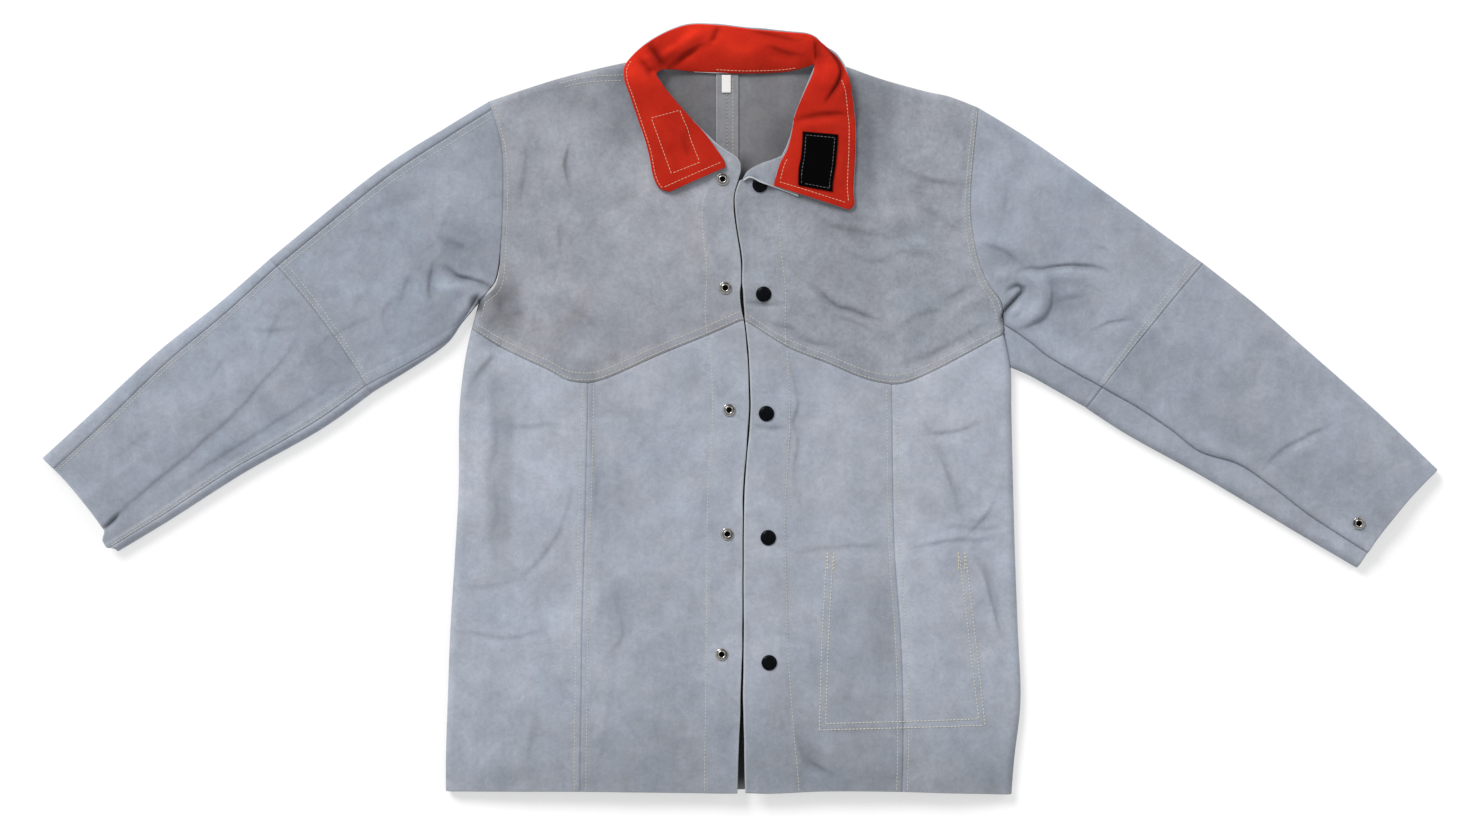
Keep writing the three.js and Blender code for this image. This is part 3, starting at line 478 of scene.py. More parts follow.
def unit(vectors):
    return vectors / np.maximum(np.linalg.norm(vectors, axis=-1, keepdims=True), TINY)


def grid_of(first, second):
    return np.meshgrid(first, second, indexing="ij")


def travelled(line):
    """Distance along a line of points from its start to each point"""
    return np.concatenate([[0], np.cumsum(np.linalg.norm(np.diff(line, axis=0), axis=1))])


def column(rows, key, value):
    """Smooth curve through one column of a table by another, which may be empty in some rows"""
    known = sorted((row[key], row[value]) for row in rows if row[value] is not None)
    place = np.array([pair[0] for pair in known], float)
    level = np.array([pair[1] for pair in known], float)
    last = len(known) - 1
    before = np.maximum(np.arange(last + 1) - 1, 0)
    after = np.minimum(np.arange(last + 1) + 1, last)
    slope = (level[after] - level[before]) / (place[after] - place[before])

    def at(where):
        low = np.clip(np.searchsorted(place, where) - 1, 0, last - 1)
        span = place[low + 1] - place[low]
        t = np.clip((where - place[low]) / span, 0, 1)
        ease = smoothstep(t, 0, 1)
        lean = slope[low] * t * (1 - t) ** 2 - slope[low + 1] * t * t * (1 - t)
        return level[low] * (1 - ease) + level[low + 1] * ease + span * lean

    return at


def level_of(points, key, value):
    return column(table(("x", "y"), points), key, value)


def spline(points, share):
    """Point on a smooth curve through the points, at a share of its stations"""
    points = np.asarray(points, float)
    last = len(points) - 1
    place = np.clip(share, 0, 1) * last
    low = np.minimum(np.floor(place).astype(int), last - 1)
    t = (place - low)[..., None]
    p0 = points[np.maximum(low - 1, 0)]
    p1 = points[low]
    p2 = points[low + 1]
    p3 = points[np.minimum(low + 2, last)]
    cubic = (3 * (p1 - p2) + p3 - p0) * t ** 3
    square = (2 * p0 - 5 * p1 + 4 * p2 - p3) * t ** 2
    return p1 + 0.5 * (cubic + square + (p2 - p0) * t)


CURVE_STEPS = 400


def through(points):
    """Curve through the points by its own length"""
    dense = spline(points, np.linspace(0, 1, CURVE_STEPS))
    along = travelled(dense)

    def at(t):
        place = np.clip(t, 0, 1) * along[-1]
        return np.stack([np.interp(place, along, axis) for axis in dense.T], -1)

    return at


def straight(start, end):
    start = np.asarray(start, float)
    end = np.asarray(end, float)
    return lambda t: start + (end - start) * np.asarray(t, float)[..., None]


def joined(first, second, split):
    """One curve up to a share of the way, and another from there"""
    def at(t):
        t = np.asarray(t, float)
        return np.where((t < split)[..., None], first(t / split), second((t - split) / (1 - split)))

    return at


def reverse(curve):
    return lambda t: curve(1 - np.asarray(t, float))


def bowed(start, end, bow, towards):
    """Line between two points that bows towards a third"""
    chord = straight(start, end)
    across = unit(np.subtract(end, start))
    aside = np.array([-across[1], across[0]])
    if aside @ np.subtract(towards, start) < 0:
        aside = -aside

    def at(t):
        t = np.asarray(t, float)
        return chord(t) + aside * (4 * bow * t * (1 - t))[..., None]

    return at


TORSO_AT = {name: column(TORSO, "y", name) for name in TORSO_COLUMNS[1:]}
CHEST_AT = {side: level_of(CHEST_SEAM[side], "x", "y") for side in SIDES}


def torso_edge(name, low, high):
    def at(t):
        y = low + (high - low) * np.asarray(t, float)
        return np.stack([TORSO_AT[name](y), y], -1)

    return at


def chest_seam(side, from_x, to_x):
    def at(t):
        x = from_x + (to_x - from_x) * np.asarray(t, float)
        return np.stack([x, CHEST_AT[side](x)], -1)

    return at


START = np.array(0.0)
END = np.array(1.0)


def patch(low, high, start, end):
    """Area between four curves: low and high run along u, start and end along v"""
    def at(u, v):
        u1 = u[..., None]
        v1 = v[..., None]
        edges = low(u) * (1 - v1) + high(u) * v1 + start(v) * (1 - u1) + end(v) * u1
        near = low(START) * (1 - u1) * (1 - v1) + low(END) * u1 * (1 - v1)
        far = high(START) * (1 - u1) * v1 + high(END) * u1 * v1
        return edges - near - far

    return at


def sleeve_fold(side, end, first, last):
    return through([(row[f"{end}X"], row[f"{end}Y"]) for row in SLEEVE[side][first:last + 1]])


def sleeve_head(side):
    armhole = through(ARMHOLE[side])
    clearance = np.array(ARMPIT_CLEARANCE[side], float)

    def sewn(t):
        return armhole(t) + clearance * smoothstep(np.asarray(t, float), CLEARANCE_FROM, 1)[..., None]

    share = HEAD_ON_ARMHOLE[side]
    first = SLEEVE[side][0]
    if share == 1:
        return sewn
    return joined(sewn, straight(sewn(END), (first["bottomX"], first["bottomY"])), share)


def tabbed(curve, shoulder):
    """The cuff line with the rounded tab, which points away from the shoulder"""
    along = unit(curve(END) - curve(START))
    away = curve(START) - shoulder
    outward = unit(away - along * (away @ along))

    def at(t):
        aside = (np.asarray(t, float) - CUFF_TAB["share"]) / CUFF_TAB["reach"]
        return curve(t) + outward * (CUFF_TAB["size"] * np.exp(-aside ** 4))[..., None]

    return at


def sleeve_patches(side):
    rows = SLEEVE[side]
    cuff_row = len(rows) - 1

    def ends(row):
        place = rows[row]
        return (place["topX"], place["topY"]), (place["bottomX"], place["bottomY"])

    shoulder = ends(0)[0]
    elbow = bowed(*ends(ELBOW_ROW), ELBOW_BOW[side], shoulder)
    cuff = bowed(*ends(cuff_row), CUFF_BOW[side], shoulder)
    if side == "right":
        cuff = tabbed(cuff, shoulder)
    upper = [sleeve_fold(side, fold, 0, ELBOW_ROW) for fold in ("top", "bottom")]
    lower = [sleeve_fold(side, fold, ELBOW_ROW, cuff_row) for fold in ("top", "bottom")]
    return {
        "upper_sleeve": patch(*upper, sleeve_head(side), elbow),
        "forearm": patch(*lower, elbow, cuff),
    }


# Heights of the two layers

FOLD_STEPS = 40
CHUNK = 4000


def fold_lines():
    steps = np.linspace(0, 1, FOLD_STEPS + 1)
    lines = []
    for side in SIDES:
        last = len(SLEEVE[side]) - 1
        lines.append(torso_edge(f"{side}Side", HEM_Y, ARMPIT_Y[side])(steps))
        lines.append(through(SHOULDER[side])(steps))
        for fold in ("top", "bottom"):
            lines.append(sleeve_fold(side, fold, 0, ELBOW_ROW)(steps))
            lines.append(sleeve_fold(side, fold, ELBOW_ROW, last)(steps))
    return np.concatenate([line[:-1] for line in lines]), np.concatenate([line[1:] for line in lines])


FOLD_FROM, FOLD_TO = fold_lines()


def fold_distance(x, y):
    flat = np.stack([np.ravel(x), np.ravel(y)], -1)
    along = FOLD_TO - FOLD_FROM
    length = (along ** 2).sum(1)
    nearest = np.empty(len(flat))
    for first in range(0, len(flat), CHUNK):
        away = flat[first:first + CHUNK, None] - FOLD_FROM
        share = np.clip((away * along).sum(2) / length, 0, 1)
        left = away - share[..., None] * along
        nearest[first:first + CHUNK] = np.sqrt((left ** 2).sum(2).min(1))
    return nearest.reshape(np.shape(x))


LATTICE = 64


def cloud(x, y, size, seed):
    """Smooth noise from -1 to 1 with features of about the given size"""
    lattice = np.random.default_rng(seed).uniform(-1, 1, (LATTICE, LATTICE))
    across = np.asarray(x) / size
    up = np.asarray(y) / size
    i = np.floor(across).astype(int)
    j = np.floor(up).astype(int)
    s = across - i
    t = up - j
    s = s ** 3 * (s * (s * 6 - 15) + 10)
    t = t ** 3 * (t * (t * 6 - 15) + 10)

    def corner(di, dj):
        return lattice[(i + di) % LATTICE, (j + dj) % LATTICE]

    low = corner(0, 0) * (1 - s) + corner(1, 0) * s
    high = corner(0, 1) * (1 - s) + corner(1, 1) * s
    return low * (1 - t) + high * t


def nearest_on(path, places):
    """Offset of places from the nearest point of a path, and how far that point is from the path's ends"""
    before = travelled(path)
    best = np.full(len(places), np.inf)
    offset = np.zeros(places.shape)
    gone = np.zeros(len(places))
    for start, end, step, passed in zip(path, path[1:], np.diff(before), before):
        share = np.clip((places - start) @ (end - start) / step ** 2, 0, 1)
        away = places - start - share[:, None] * (end - start)
        size = (away ** 2).sum(1)
        closer = size < best
        best = np.where(closer, size, best)
        offset = np.where(closer[:, None], away, offset)
        gone = np.where(closer, passed + share * step, gone)
    return offset, np.minimum(gone, before[-1] - gone) / before[-1]


def crease(row, path, places):
    """Height of one fold, which fades towards its ends"""
    offset, from_end = nearest_on(path, places)
    side = 1
    if row["height"] < 0:
        lean = offset @ np.array(LEAN_TOWARDS) / row["reach"]
        side = GENTLE_SIDE + (STEEP_SIDE - GENTLE_SIDE) * smoothstep(lean, *LEAN_BETWEEN)
    reach = np.maximum(row["reach"] * side, LEAST_REACH)
    fade = smoothstep(from_end, -FOLD_TAPER / 2, FOLD_TAPER)
    return row["height"] * fade * np.exp(-(offset ** 2).sum(1) / reach ** 2)


def creases(x, y, rows):
    """Sum of the folds at places in plan"""
    shape = np.shape(x)
    x, y = np.ravel(x).astype(float), np.ravel(y).astype(float)
    swing = 1 + FOLD_SWING["share"] * cloud(x, y, FOLD_SWING["size"], FOLD_SWING["seed"])
    shifts = [(drift["shift"], drift["size"], drift["seed"]) for drift in FOLD_DRIFTS]
    moved_x = x + sum(shift * cloud(x, y, size, seed) for shift, size, seed in shifts)
    moved_y = y + sum(shift * cloud(x, y, size, seed + 1) for shift, size, seed in shifts)
    places = np.column_stack([moved_x, moved_y])
    height = np.zeros(len(x))
    for row in rows:
        path = spline(row["points"], np.linspace(0, 1, PATH_STEPS * (len(row["points"]) - 1) + 1))
        margin = FOLD_SPAN * GENTLE_SIDE * row["reach"]
        inside = (places > path.min(0) - margin) & (places < path.max(0) + margin)
        near = np.flatnonzero(inside.all(1))
        if len(near):
            height[near] += crease(row, path, places[near])
    return (height * swing).reshape(shape)


def swells(x, y):
    return sum(row["height"] * cloud(x, y, row["size"], row["seed"]) for row in SWELLS)


POCKET_EDGE = 5.0
POCKET_RELIEF = 0.9
POCKET_LEFT_AT, POCKET_RIGHT_AT = (level_of(points, "y", "x") for points in (POCKET_LEFT, POCKET_RIGHT))


def pocket_relief(x, y):
    """The pocket bag's thickness shows through the left front"""
    inside = np.minimum(x - POCKET_LEFT_AT(y), POCKET_RIGHT_AT(y) - x)
    inside = np.minimum(inside, np.minimum(y - POCKET_LEFT[0][1], POCKET_LEFT[-1][1] - y))
    return POCKET_RELIEF * smoothstep(inside, -POCKET_EDGE, POCKET_EDGE)


def fold_turn(distance):
    left = np.maximum(0, 1 - distance / FOLD_REACH)
    return np.sqrt(1 - left * left)


def front_height(x, y):
    distance = fold_distance(x, y)
    crown = CROWN_LOFT * smoothstep(distance, 0, CROWN_REACH)
    shape = creases(x, y, CREASES) + swells(x, y) + pocket_relief(x, y)
    shape = shape * smoothstep(distance, 0, CREASE_FADE)
    return FOLD_MIDDLE + (EDGE_LOFT + crown + shape - FOLD_MIDDLE) * fold_turn(distance)


def back_height(x, y):
    return FOLD_MIDDLE - (FOLD_MIDDLE - LEATHER / 2) * fold_turn(fold_distance(x, y))


# Hem line above its lowest point, and how far the front edges come together

HEM_RISE_AT = column(table(("x", "rise"), [
    (-323, 4), (-175, 4.3), (-10, 2.5), (6, 3), (33, 2.3), (99, 5), (178, 4.2), (298, 0.5),
]), "x", "rise")
HEM_REACH = 60.0
EDGE_CLOSING_AT = column(table(("y", "closing"), [
    (-400, 0), (-250, 0.45), (60, 0.45), (100, 0.9), (108, 0.2), (130, 0.2), (139, 1.3), (163, 1.5),
    (200, 1.1), (231, 0.6), (255, 0.6),
]), "y", "closing")
EDGE_MIDDLE = 2.0
EDGE_FADE = 22.0
EDGE_SLACK = 1.0
EDGE_WAVE = {"size": 24.0, "shift": 0.45, "seed": 71}


def hung(place):
    """Moves places in plan: the hem rises and falls a little and the front edges come close together"""
    x, y = place[..., 0], place[..., 1]
    low = 1 - smoothstep(y, HEM_Y, HEM_Y + HEM_REACH)
    way = np.where(x < TORSO_AT["rightEdge"](y) + EDGE_SLACK, 1, -1)
    wave = EDGE_WAVE["shift"] * cloud(way * LATTICE, y, EDGE_WAVE["size"], EDGE_WAVE["seed"])
    x = x + (way * EDGE_CLOSING_AT(y) + wave) * bell(x - EDGE_MIDDLE, EDGE_FADE)
    return np.stack([x, y + HEM_RISE_AT(x) * low], -1)


# Relief along the borders of a piece, by the distance from the border: raised strips, each with its height
# and where its slope starts and ends, then dents (-) or swells (+), each with its height, place and reach

STITCH_ROWS = (2.2, 7.8)
PRESSED_ROW = 6.2
# Width of the plackets, at even stops from the hem to the chest seam and from there to the collar
PLACKET = {"right": (36, 38, 38, 38), "left": (59, 47, 46, 48)}
YOKE_PLACKET = {"right": (38, 38), "left": (45, 49, 54)}
PLACKET_SLOPE = 2.0
RAW_EDGE = (0.3, 0, 4)
RELIEF = {
    "lapped": ([(0.34, 9, 12)], [(-0.3, 12, 3), (-0.2, 0, 1.2)] + [(-0.22, row, 0.9) for row in STITCH_ROWS]),
    "under": ([], [(-0.3, 0, 2)]),
    "pressed": ([], [(-0.8, 0, 1.8), (-0.25, PRESSED_ROW, 1.2)]),
    "rolled": ([(2.6, 3, 24)], [(-1.4, 0, 2)]),
    "raw": ([], [RAW_EDGE]),
}
for side in SIDES:
    width = PLACKET[side][-1]
    strip = (0.5, width - PLACKET_SLOPE, width + PLACKET_SLOPE)
    RELIEF[f"{side} placket"] = ([strip], [RAW_EDGE, (-0.2, width, 1)])


def border_relief(u, v, borders):
    places = {"u0": u, "u1": 1 - u, "v0": v, "v1": 1 - v}
    rise = np.zeros(np.shape(u))
    for border, (kind, length) in borders.items():
        away = places[border] * length
        strips, bells = RELIEF[kind]
        for height, start, end in strips:
            rise = rise + height * (1 - smoothstep(away, start, end))
        for height, place, reach in bells:
            rise = rise + height * bell(away - place, reach)
    return rise


def on_front(area, borders):
    def at(u, v):
        place = hung(area(u, v))
        x, y = place[..., 0], place[..., 1]
        return np.stack([x, y, front_height(x, y) + border_relief(u, v, borders)], -1)

    return at


def on_back(area):
    def at(u, v):
        place = area(u, v)
        x, y = place[..., 0], place[..., 1]
        return np.stack([x, y, back_height(x, y)], -1)

    return at


# Body panels as functions of u, from the front edge outwards, and v, upwards

YOKE_LENGTH = 270.0
YOKE_WIDTH = 290.0
PANEL_LENGTH = 490.0
FRONT_WIDTH = 172.0
SIDE_WIDTH = 135.0
BACK_LENGTH = 780.0
BACK_WIDTH = 300.0
ARMPIT_SHARE = 0.68
NECK_CORNER_SHARE = 0.52
BACK_NECK_SHARE = 0.95


def torso_x(side, name, y):
    return float(TORSO_AT[side + name](np.array(float(y))))


def yoke_surface(side):
    edge_y = CHEST_SEAM_AT_EDGE[side]
    side_y = CHEST_SEAM_AT_SIDE[side]
    armpit = (ARMPIT_Y[side] - side_y) / YOKE_LENGTH
    front_edge = torso_edge(f"{side}Edge", edge_y, PLACKET_TOP[side])
    inner = joined(front_edge, through(NECKLINE[side]), NECK_CORNER_SHARE)
    outer = reverse(through(ARMHOLE[side]))
    if armpit > 0:
        outer = joined(torso_edge(f"{side}Side", side_y, ARMPIT_Y[side]), outer, armpit)
    low = chest_seam(side, torso_x(side, "Edge", edge_y), torso_x(side, "Side", side_y))
    borders = {
        "v0": ("lapped", YOKE_LENGTH),
        "u0": (f"{side} placket", YOKE_WIDTH),
        "u1": (ARMHOLE_SEAM[side], YOKE_WIDTH),
    }
    return on_front(patch(low, through(SHOULDER[side]), inner, outer), borders)


def lower_panel(side, inner, outer, borders):
    """Panel between two upright lines of the body, each given by its name and its top"""
    low = straight(*((torso_x(side, name, HEM_Y), HEM_Y) for name, top in (inner, outer)))
    high = chest_seam(side, *(torso_x(side, name, top) for name, top in (inner, outer)))
    uprights = [torso_edge(side + name, HEM_Y, top) for name, top in (inner, outer)]
    ends = {"v1": ("under", PANEL_LENGTH), "v0": ("raw", PANEL_LENGTH)}
    return on_front(patch(low, high, *uprights), {**borders, **ends})


def front_surface(side):
    borders = {"u0": (f"{side} placket", FRONT_WIDTH), "u1": ("pressed", FRONT_WIDTH)}
    return lower_panel(side, ("Edge", CHEST_SEAM_AT_EDGE[side]), ("Seam", PANEL_SEAM_TOP[side]), borders)


def side_surface(side):
    borders = {"u0": ("pressed", SIDE_WIDTH)}
    return lower_panel(side, ("Seam", PANEL_SEAM_TOP[side]), ("Side", CHEST_SEAM_AT_SIDE[side]), borders)


def back_surface(side):
    hem_centre = (BACK_SEAM_X, BACK_HEM_Y)
    hem = straight(hem_centre, (torso_x(side, "Side", BACK_HEM_Y), BACK_HEM_Y))
    centre = straight(hem_centre, (BACK_SEAM_X, BACK_NECK_Y))
    inner = joined(centre, through(BACK_NECKLINE[side]), BACK_NECK_SHARE)
    side_fold = torso_edge(f"{side}Side", BACK_HEM_Y, ARMPIT_Y[side])
    outer = joined(side_fold, reverse(through(ARMHOLE[side])), ARMPIT_SHARE)
    return on_back(patch(hem, through(SHOULDER[side]), inner, outer))


# Sleeve pieces as functions of u, down the arm, and v, round the arm

GIRTH_STEPS = 1200
GIRTH_STOPS = 400
HALF_WAY = np.array(0.5)
SLEEVE_PARTS = table(("part", "length", "end"), [
    ("upper_sleeve", UPPER_LENGTH, "lapped"),
    ("forearm", FOREARM_LENGTH, "raw"),
])


def round_arm(area, u, around):
    lap = np.mod(around, 2)
    place = area(u, np.where(lap <= 1, lap, 2 - lap))
    x, y = place[..., 0], place[..., 1]
    return np.stack([x, y, np.where(lap <= 1, front_height(x, y), back_height(x, y))], -1)


def even_shares(area, first, last):
    """Shares of the way round that are evenly spaced on the leather half-way down the piece"""
    around = np.linspace(first, last, GIRTH_STEPS)
    along = travelled(round_arm(area, np.full_like(around, HALF_WAY), around))
    return np.interp(np.linspace(0, along[-1], GIRTH_STOPS), along, np.linspace(0, 1, GIRTH_STEPS))


def seam_share(stops, wave=0.0):
    """Share of the way round of a long seam, by the place down the piece, with a slight wave"""
    stops = np.reshape(stops, (-1, 1))

    def at(u):
        sway = cloud(u * FOREARM_LENGTH, np.zeros_like(u), SEAM_WAVE["size"], SEAM_WAVE["seed"])
        return spline(stops, u)[..., 0] + wave * np.sin(np.pi * np.clip(u, 0, 1)) * sway

    return at


def held_folds(around, ends, seams):
    """Shares whose ends follow the seams while the folds of the arm stay in their columns"""
    first, last = ends
    folds = [fold for fold in (0, 1, 2) if first < fold < last]
    if not folds:
        return seams[0] + (around - first) * (seams[1] - seams[0]) / (last - first)
    low, high = folds[0], folds[-1]
    below = low + (around - low) * (seams[0] - low) / (first - low)
    above = high + (around - high) * (seams[1] - high) / (last - high)
    return np.where(around < low, below, np.where(around > high, above, around))


def sleeve_surface(area, start, end, borders):
    ends = (float(start(HALF_WAY)), float(end(HALF_WAY)))
    shares = even_shares(area, *ends)
    girth = np.linspace(0, 1, GIRTH_STOPS)

    def at(u, v):
        around = ends[0] + (ends[1] - ends[0]) * np.interp(v, girth, shares)
        around = held_folds(around, ends, (start(u), end(u)))
        points = round_arm(area, u, around)
        points[..., 2] += np.where(np.mod(around, 2) <= 1, border_relief(u, v, borders), 0)
        return points

    return at


def sleeve_surfaces(side):
    areas = sleeve_patches(side)
    made = {}
    for row in SLEEVE_PARTS:
        part, length = row["part"], row["length"]
        top_stops, bottom_stops = SLEEVE_SEAMS[side][part]
        top = seam_share(top_stops)
        again = seam_share(np.add(top_stops, 2))
        bottom = seam_share(bottom_stops, SEAM_WAVE["share"])
        ends = {"u0": ("under", length), "u1": (row["end"], length)}
        seams = {"v0": ("pressed", SLEEVE_GIRTH), "v1": (BOTTOM_SEAM[side], SLEEVE_GIRTH)}
        made[f"{part}_front"] = sleeve_surface(areas[part], top, bottom, {**ends, **seams})
        made[f"{part}_back"] = sleeve_surface(areas[part], bottom, again, ends)
    return made


# Collar

SHARE_STEP = 1e-3


def collar_curves():
    neck = []
    outer = []
    for row in COLLAR:
        for end, line in (("neck", neck), ("outer", outer)):
            x, y, z = (row[f"{end}{axis}"] for axis in "XYZ")
            if z is None:
                z = float(front_height(np.array(float(x)), np.array(float(y)))) + COLLAR_LIFT
            line.append((x, y, z))
    return np.array(neck, float), np.array(outer, float)


COLLAR_NECK, COLLAR_OUTER = collar_curves()
NECKLINE_AT = {side: level_of(NECKLINE[side], "y", "x") for side in SIDES}
SHOULDER_AT = {side: level_of(SHOULDER[side], "x", "y") for side in SIDES}


def body_under(x, y):
    """Height of the fronts where they lie under the collar, and 0 beside them"""
    beside = np.where(x < 0, -x > -NECKLINE_AT["right"](y), x > NECKLINE_AT["left"](y))
    below = y < np.where(x < 0, SHOULDER_AT["right"](x), SHOULDER_AT["left"](x))
    return np.where(beside & below, front_height(x, y), 0)


def across_collar(s, w):
    """Place on the straight line from the neck to the outer edge, s round the neck and w across"""
    neck = spline(COLLAR_NECK, s)
    return neck + (spline(COLLAR_OUTER, s) - neck) * w[..., None]


def collar_middle(s, w):
    points = across_collar(s, w)
    x, y = points[..., 0], points[..., 1]
    arched = points[..., 2] + COLLAR_ARCH * 4 * w * (1 - w) + creases(x, y, COLLAR_FOLDS)
    away = np.hypot(x - CORNER_UNDER_COLLAR["x"], y - CORNER_UNDER_COLLAR["y"])
    corner = CORNER_UNDER_COLLAR["height"] * bell(away, CORNER_UNDER_COLLAR["reach"])
    points[..., 2] = np.maximum(arched, body_under(x, y) + COLLAR_LIFT) + corner
    return points


def grid_normals(grid):
    return unit(np.cross(np.gradient(grid, axis=0), np.gradient(grid, axis=1)))


def collar_sheet(shares_along, shares_across, rise):
    grid = collar_middle(*grid_of(shares_along, shares_across))
    normals = grid_normals(grid)
    middle = normals[normals.shape[0] // 2, normals.shape[1] // 2]
    return grid + normals * rise * np.sign(middle[2])


def facing_surface(extra):
    """Place on the upper face of the collar facing, or a little above it"""
    def at(s, w):
        before, after = (collar_middle(np.clip(s + step, 0, 1), w) for step in (-SHARE_STEP, SHARE_STEP))
        across = collar_middle(s, w + SHARE_STEP) - collar_middle(s, w - SHARE_STEP)
        normals = unit(np.cross(after - before, across))
        normals *= np.sign(normals[..., 2:3])
        return collar_middle(s, w) + normals * (FACING_RISE + COTTON / 2 + extra)

    return at


# Meshes

RIM_ROUND = 0.18
# How pale the leather is on the faces beside a cut edge and on the edge itself
CUT_FACE = 0.35
CUT_RIM = 0.55
BORDERS = {"u0": (0, slice(None)), "u1": (-1, slice(None)), "v0": (slice(None), 0), "v1": (slice(None), -1)}


def grid_quads(rows, columns):
    index = np.arange(rows * columns).reshape(rows, columns)
    return np.stack([index[:-1, :-1], index[1:, :-1], index[1:, 1:], index[:-1, 1:]], -1).reshape(-1, 4)


def rim_indices(rows, columns):
    index = np.arange(rows * columns).reshape(rows, columns)
    return np.concatenate([index[:-1, 0], index[-1, :-1], index[:0:-1, -1], index[0, :0:-1]])


def ring_quads(rings, sides):
    """Quads between closed rings of points that follow one another"""
    first = np.arange(rings - 1)[:, None] * sides
    here = first + np.arange(sides)
    after = first + np.roll(np.arange(sides), -1)
    return np.stack([here, after, after + sides, here + sides], -1).reshape(-1, 4)


def signed_volume(vertices, quads):
    a, b, c, d = (vertices[quads[:, k]] for k in range(4))
    return (np.cross(a, b) * c).sum() + (np.cross(a, c) * d).sum()


def cut_border(rows, columns, borders):
    """Mark of the grid places that lie on a cut edge"""
    mark = np.zeros((rows, columns))
    for border in borders:
        mark[BORDERS[border]] = 1
    return mark.ravel()


def sheet_arrays(grid, thickness, cut=(), paleness=CUT_FACE):
    """Vertices, quads and cut-edge mark of a wall around the grid, with a rounded rim"""
    rows, columns = grid.shape[:2]
    count = rows * columns
    flat = grid.reshape(-1, 3)
    half = grid_normals(grid).reshape(-1, 3) * thickness / 2
    rim = rim_indices(rows, columns)
    inner = np.pad(grid[1:-1, 1:-1], ((1, 1), (1, 1), (0, 0)), mode="edge").reshape(-1, 3)
    outward = unit(flat[rim] - inner[rim])
    vertices = np.concatenate([flat + half, flat - half, flat[rim] + outward * thickness * RIM_ROUND])
    quads = grid_quads(rows, columns)
    middle = 2 * count + np.arange(len(rim))
    next_rim, next_middle = np.roll(rim, -1), np.roll(middle, -1)
    upper = np.stack([rim, middle, next_middle, next_rim], -1)
    lower = np.stack([middle, rim + count, next_rim + count, next_middle], -1)
    faces = np.concatenate([quads, quads[:, ::-1] + count, upper, lower])
    if signed_volume(vertices, faces) < 0:
        faces = faces[:, ::-1]
    border = cut_border(rows, columns, cut)
    mark = np.concatenate([paleness * border, paleness * border, max(paleness, CUT_RIM) * border[rim]])
    return vertices, faces, mark


def joined_arrays(parts):
    vertices, faces, marks = [], [], []
    offset = 0
    for points, quads, mark in parts:
        vertices.append(points)
        faces.append(quads + offset)
        marks.append(mark)
        offset += len(points)
    return np.concatenate(vertices), np.concatenate(faces), np.concatenate(marks)


def make_mesh(name, vertices, faces, material, attributes):
    mesh = bpy.data.meshes.new(name)
    mesh.from_pydata((np.asarray(vertices) * METRES).tolist(), [], [list(map(int, face)) for face in faces])
    mesh.polygons.foreach_set("use_smooth", np.ones(len(mesh.polygons), bool))
    for key, values in attributes.items():
        layer = mesh.attributes.new(key, "FLOAT", "POINT")
        layer.data.foreach_set("value", np.asarray(values, np.float32))
    mesh.materials.append(material)
    mesh.update()
    piece = bpy.data.objects.new(name, mesh)
    bpy.context.scene.collection.objects.link(piece)
    return piece


def add_piece(name, vertices, faces, material, attributes=None, node=None):
    """A visible piece that rides on the jacket and, where it stands for a solid, takes its place"""
    piece = make_mesh(f"{name}_{material.name.split()[-1]}", vertices, faces, material, attributes or {})
    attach(piece, "root")
    if node:
        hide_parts(node)
    return piece


def add_sheet(name, grid, thickness, material, tone_and_painted_light=None):
    """A soft piece of one sheet, whose colour is scaled by its place in plan, painted shade and light
    included
    """
    vertices, faces, _ = sheet_arrays(grid, thickness)
    attributes = {"tone_and_painted_light": tone_and_painted_light(vertices[:, 0], vertices[:, 1])} if tone_and_painted_light else None
    return add_piece(name, vertices, faces, material, attributes, name)


# Materials

NOISE_MIDDLE = 0.5
# Noise in the leather: scale by the metre, detail, roughness, distortion, and stretch along X, Y and Z
SUEDE_NOISE = {
    "clouds": (8.0, 6.0, 0.62, 0.5),
    "hues": (15.0, 5.0, 0.6, 0.8),
    "blots": (36.0, 6.0, 0.7, 0.6),
    "streaks": (1.0, 4.0, 0.6, 0.4, (70.0, 18.0, 70.0)),
    "strokes": (210.0, 5.0, 0.74, 0.5),
    "nap": (950.0, 2.0, 0.7),
    "wrinkles": (26.0, 3.0, 0.5, 1.0),
}
WRINKLE_WIDTH = 0.03
# Least and greatest shade of each noise, for wrinkles with the values of the noise that they stand for
SUEDE_TONES = {
    "blots": (0.885, 1.115),
    "streaks": (0.96, 1.04),
    "strokes": (-0.09, 0.09),
    "nap": (0.95, 1.05),
    "wrinkles": (0.975, 1.0, 0.0, 1.0),
}
SUEDE_COLOURS = ((0.312, 0.340, 0.392, 1), (0.363, 0.393, 0.450, 1))
SUEDE_HUES = ((0.972, 1.0, 1.028, 1), (1.03, 0.994, 0.98, 1))
SUEDE_WARMTH = ((0.9, 1.0, 1.1, 1), (1.1, 1.0, 0.9, 1))
SUEDE_ROUGHNESS = (0.88, 0.98)
SUEDE_RELIEF = {"strokes": 0.6, "wrinkles": 0.12, "nap": 0.25}
SUEDE_BUMP = {"strength": 0.5, "distance": 0.001}
SUEDE_SHEEN = {"Sheen Weight": 0.10, "Sheen Roughness": 0.6, "Specular IOR Level": 0.08}
CUT_COLOUR = (0.60, 0.62, 0.64, 1)
COTTON_NOISE = {"clouds": (30.0, 4.0, 0.6), "weave": (900.0, 2.0, 0.6)}
COTTON_COLOURS = ((0.54, 0.020, 0.009, 1), (0.66, 0.030, 0.012, 1))
COTTON_TONES = (0.9, 1.1)
COTTON_ROUGHNESS = (0.8, 0.95)
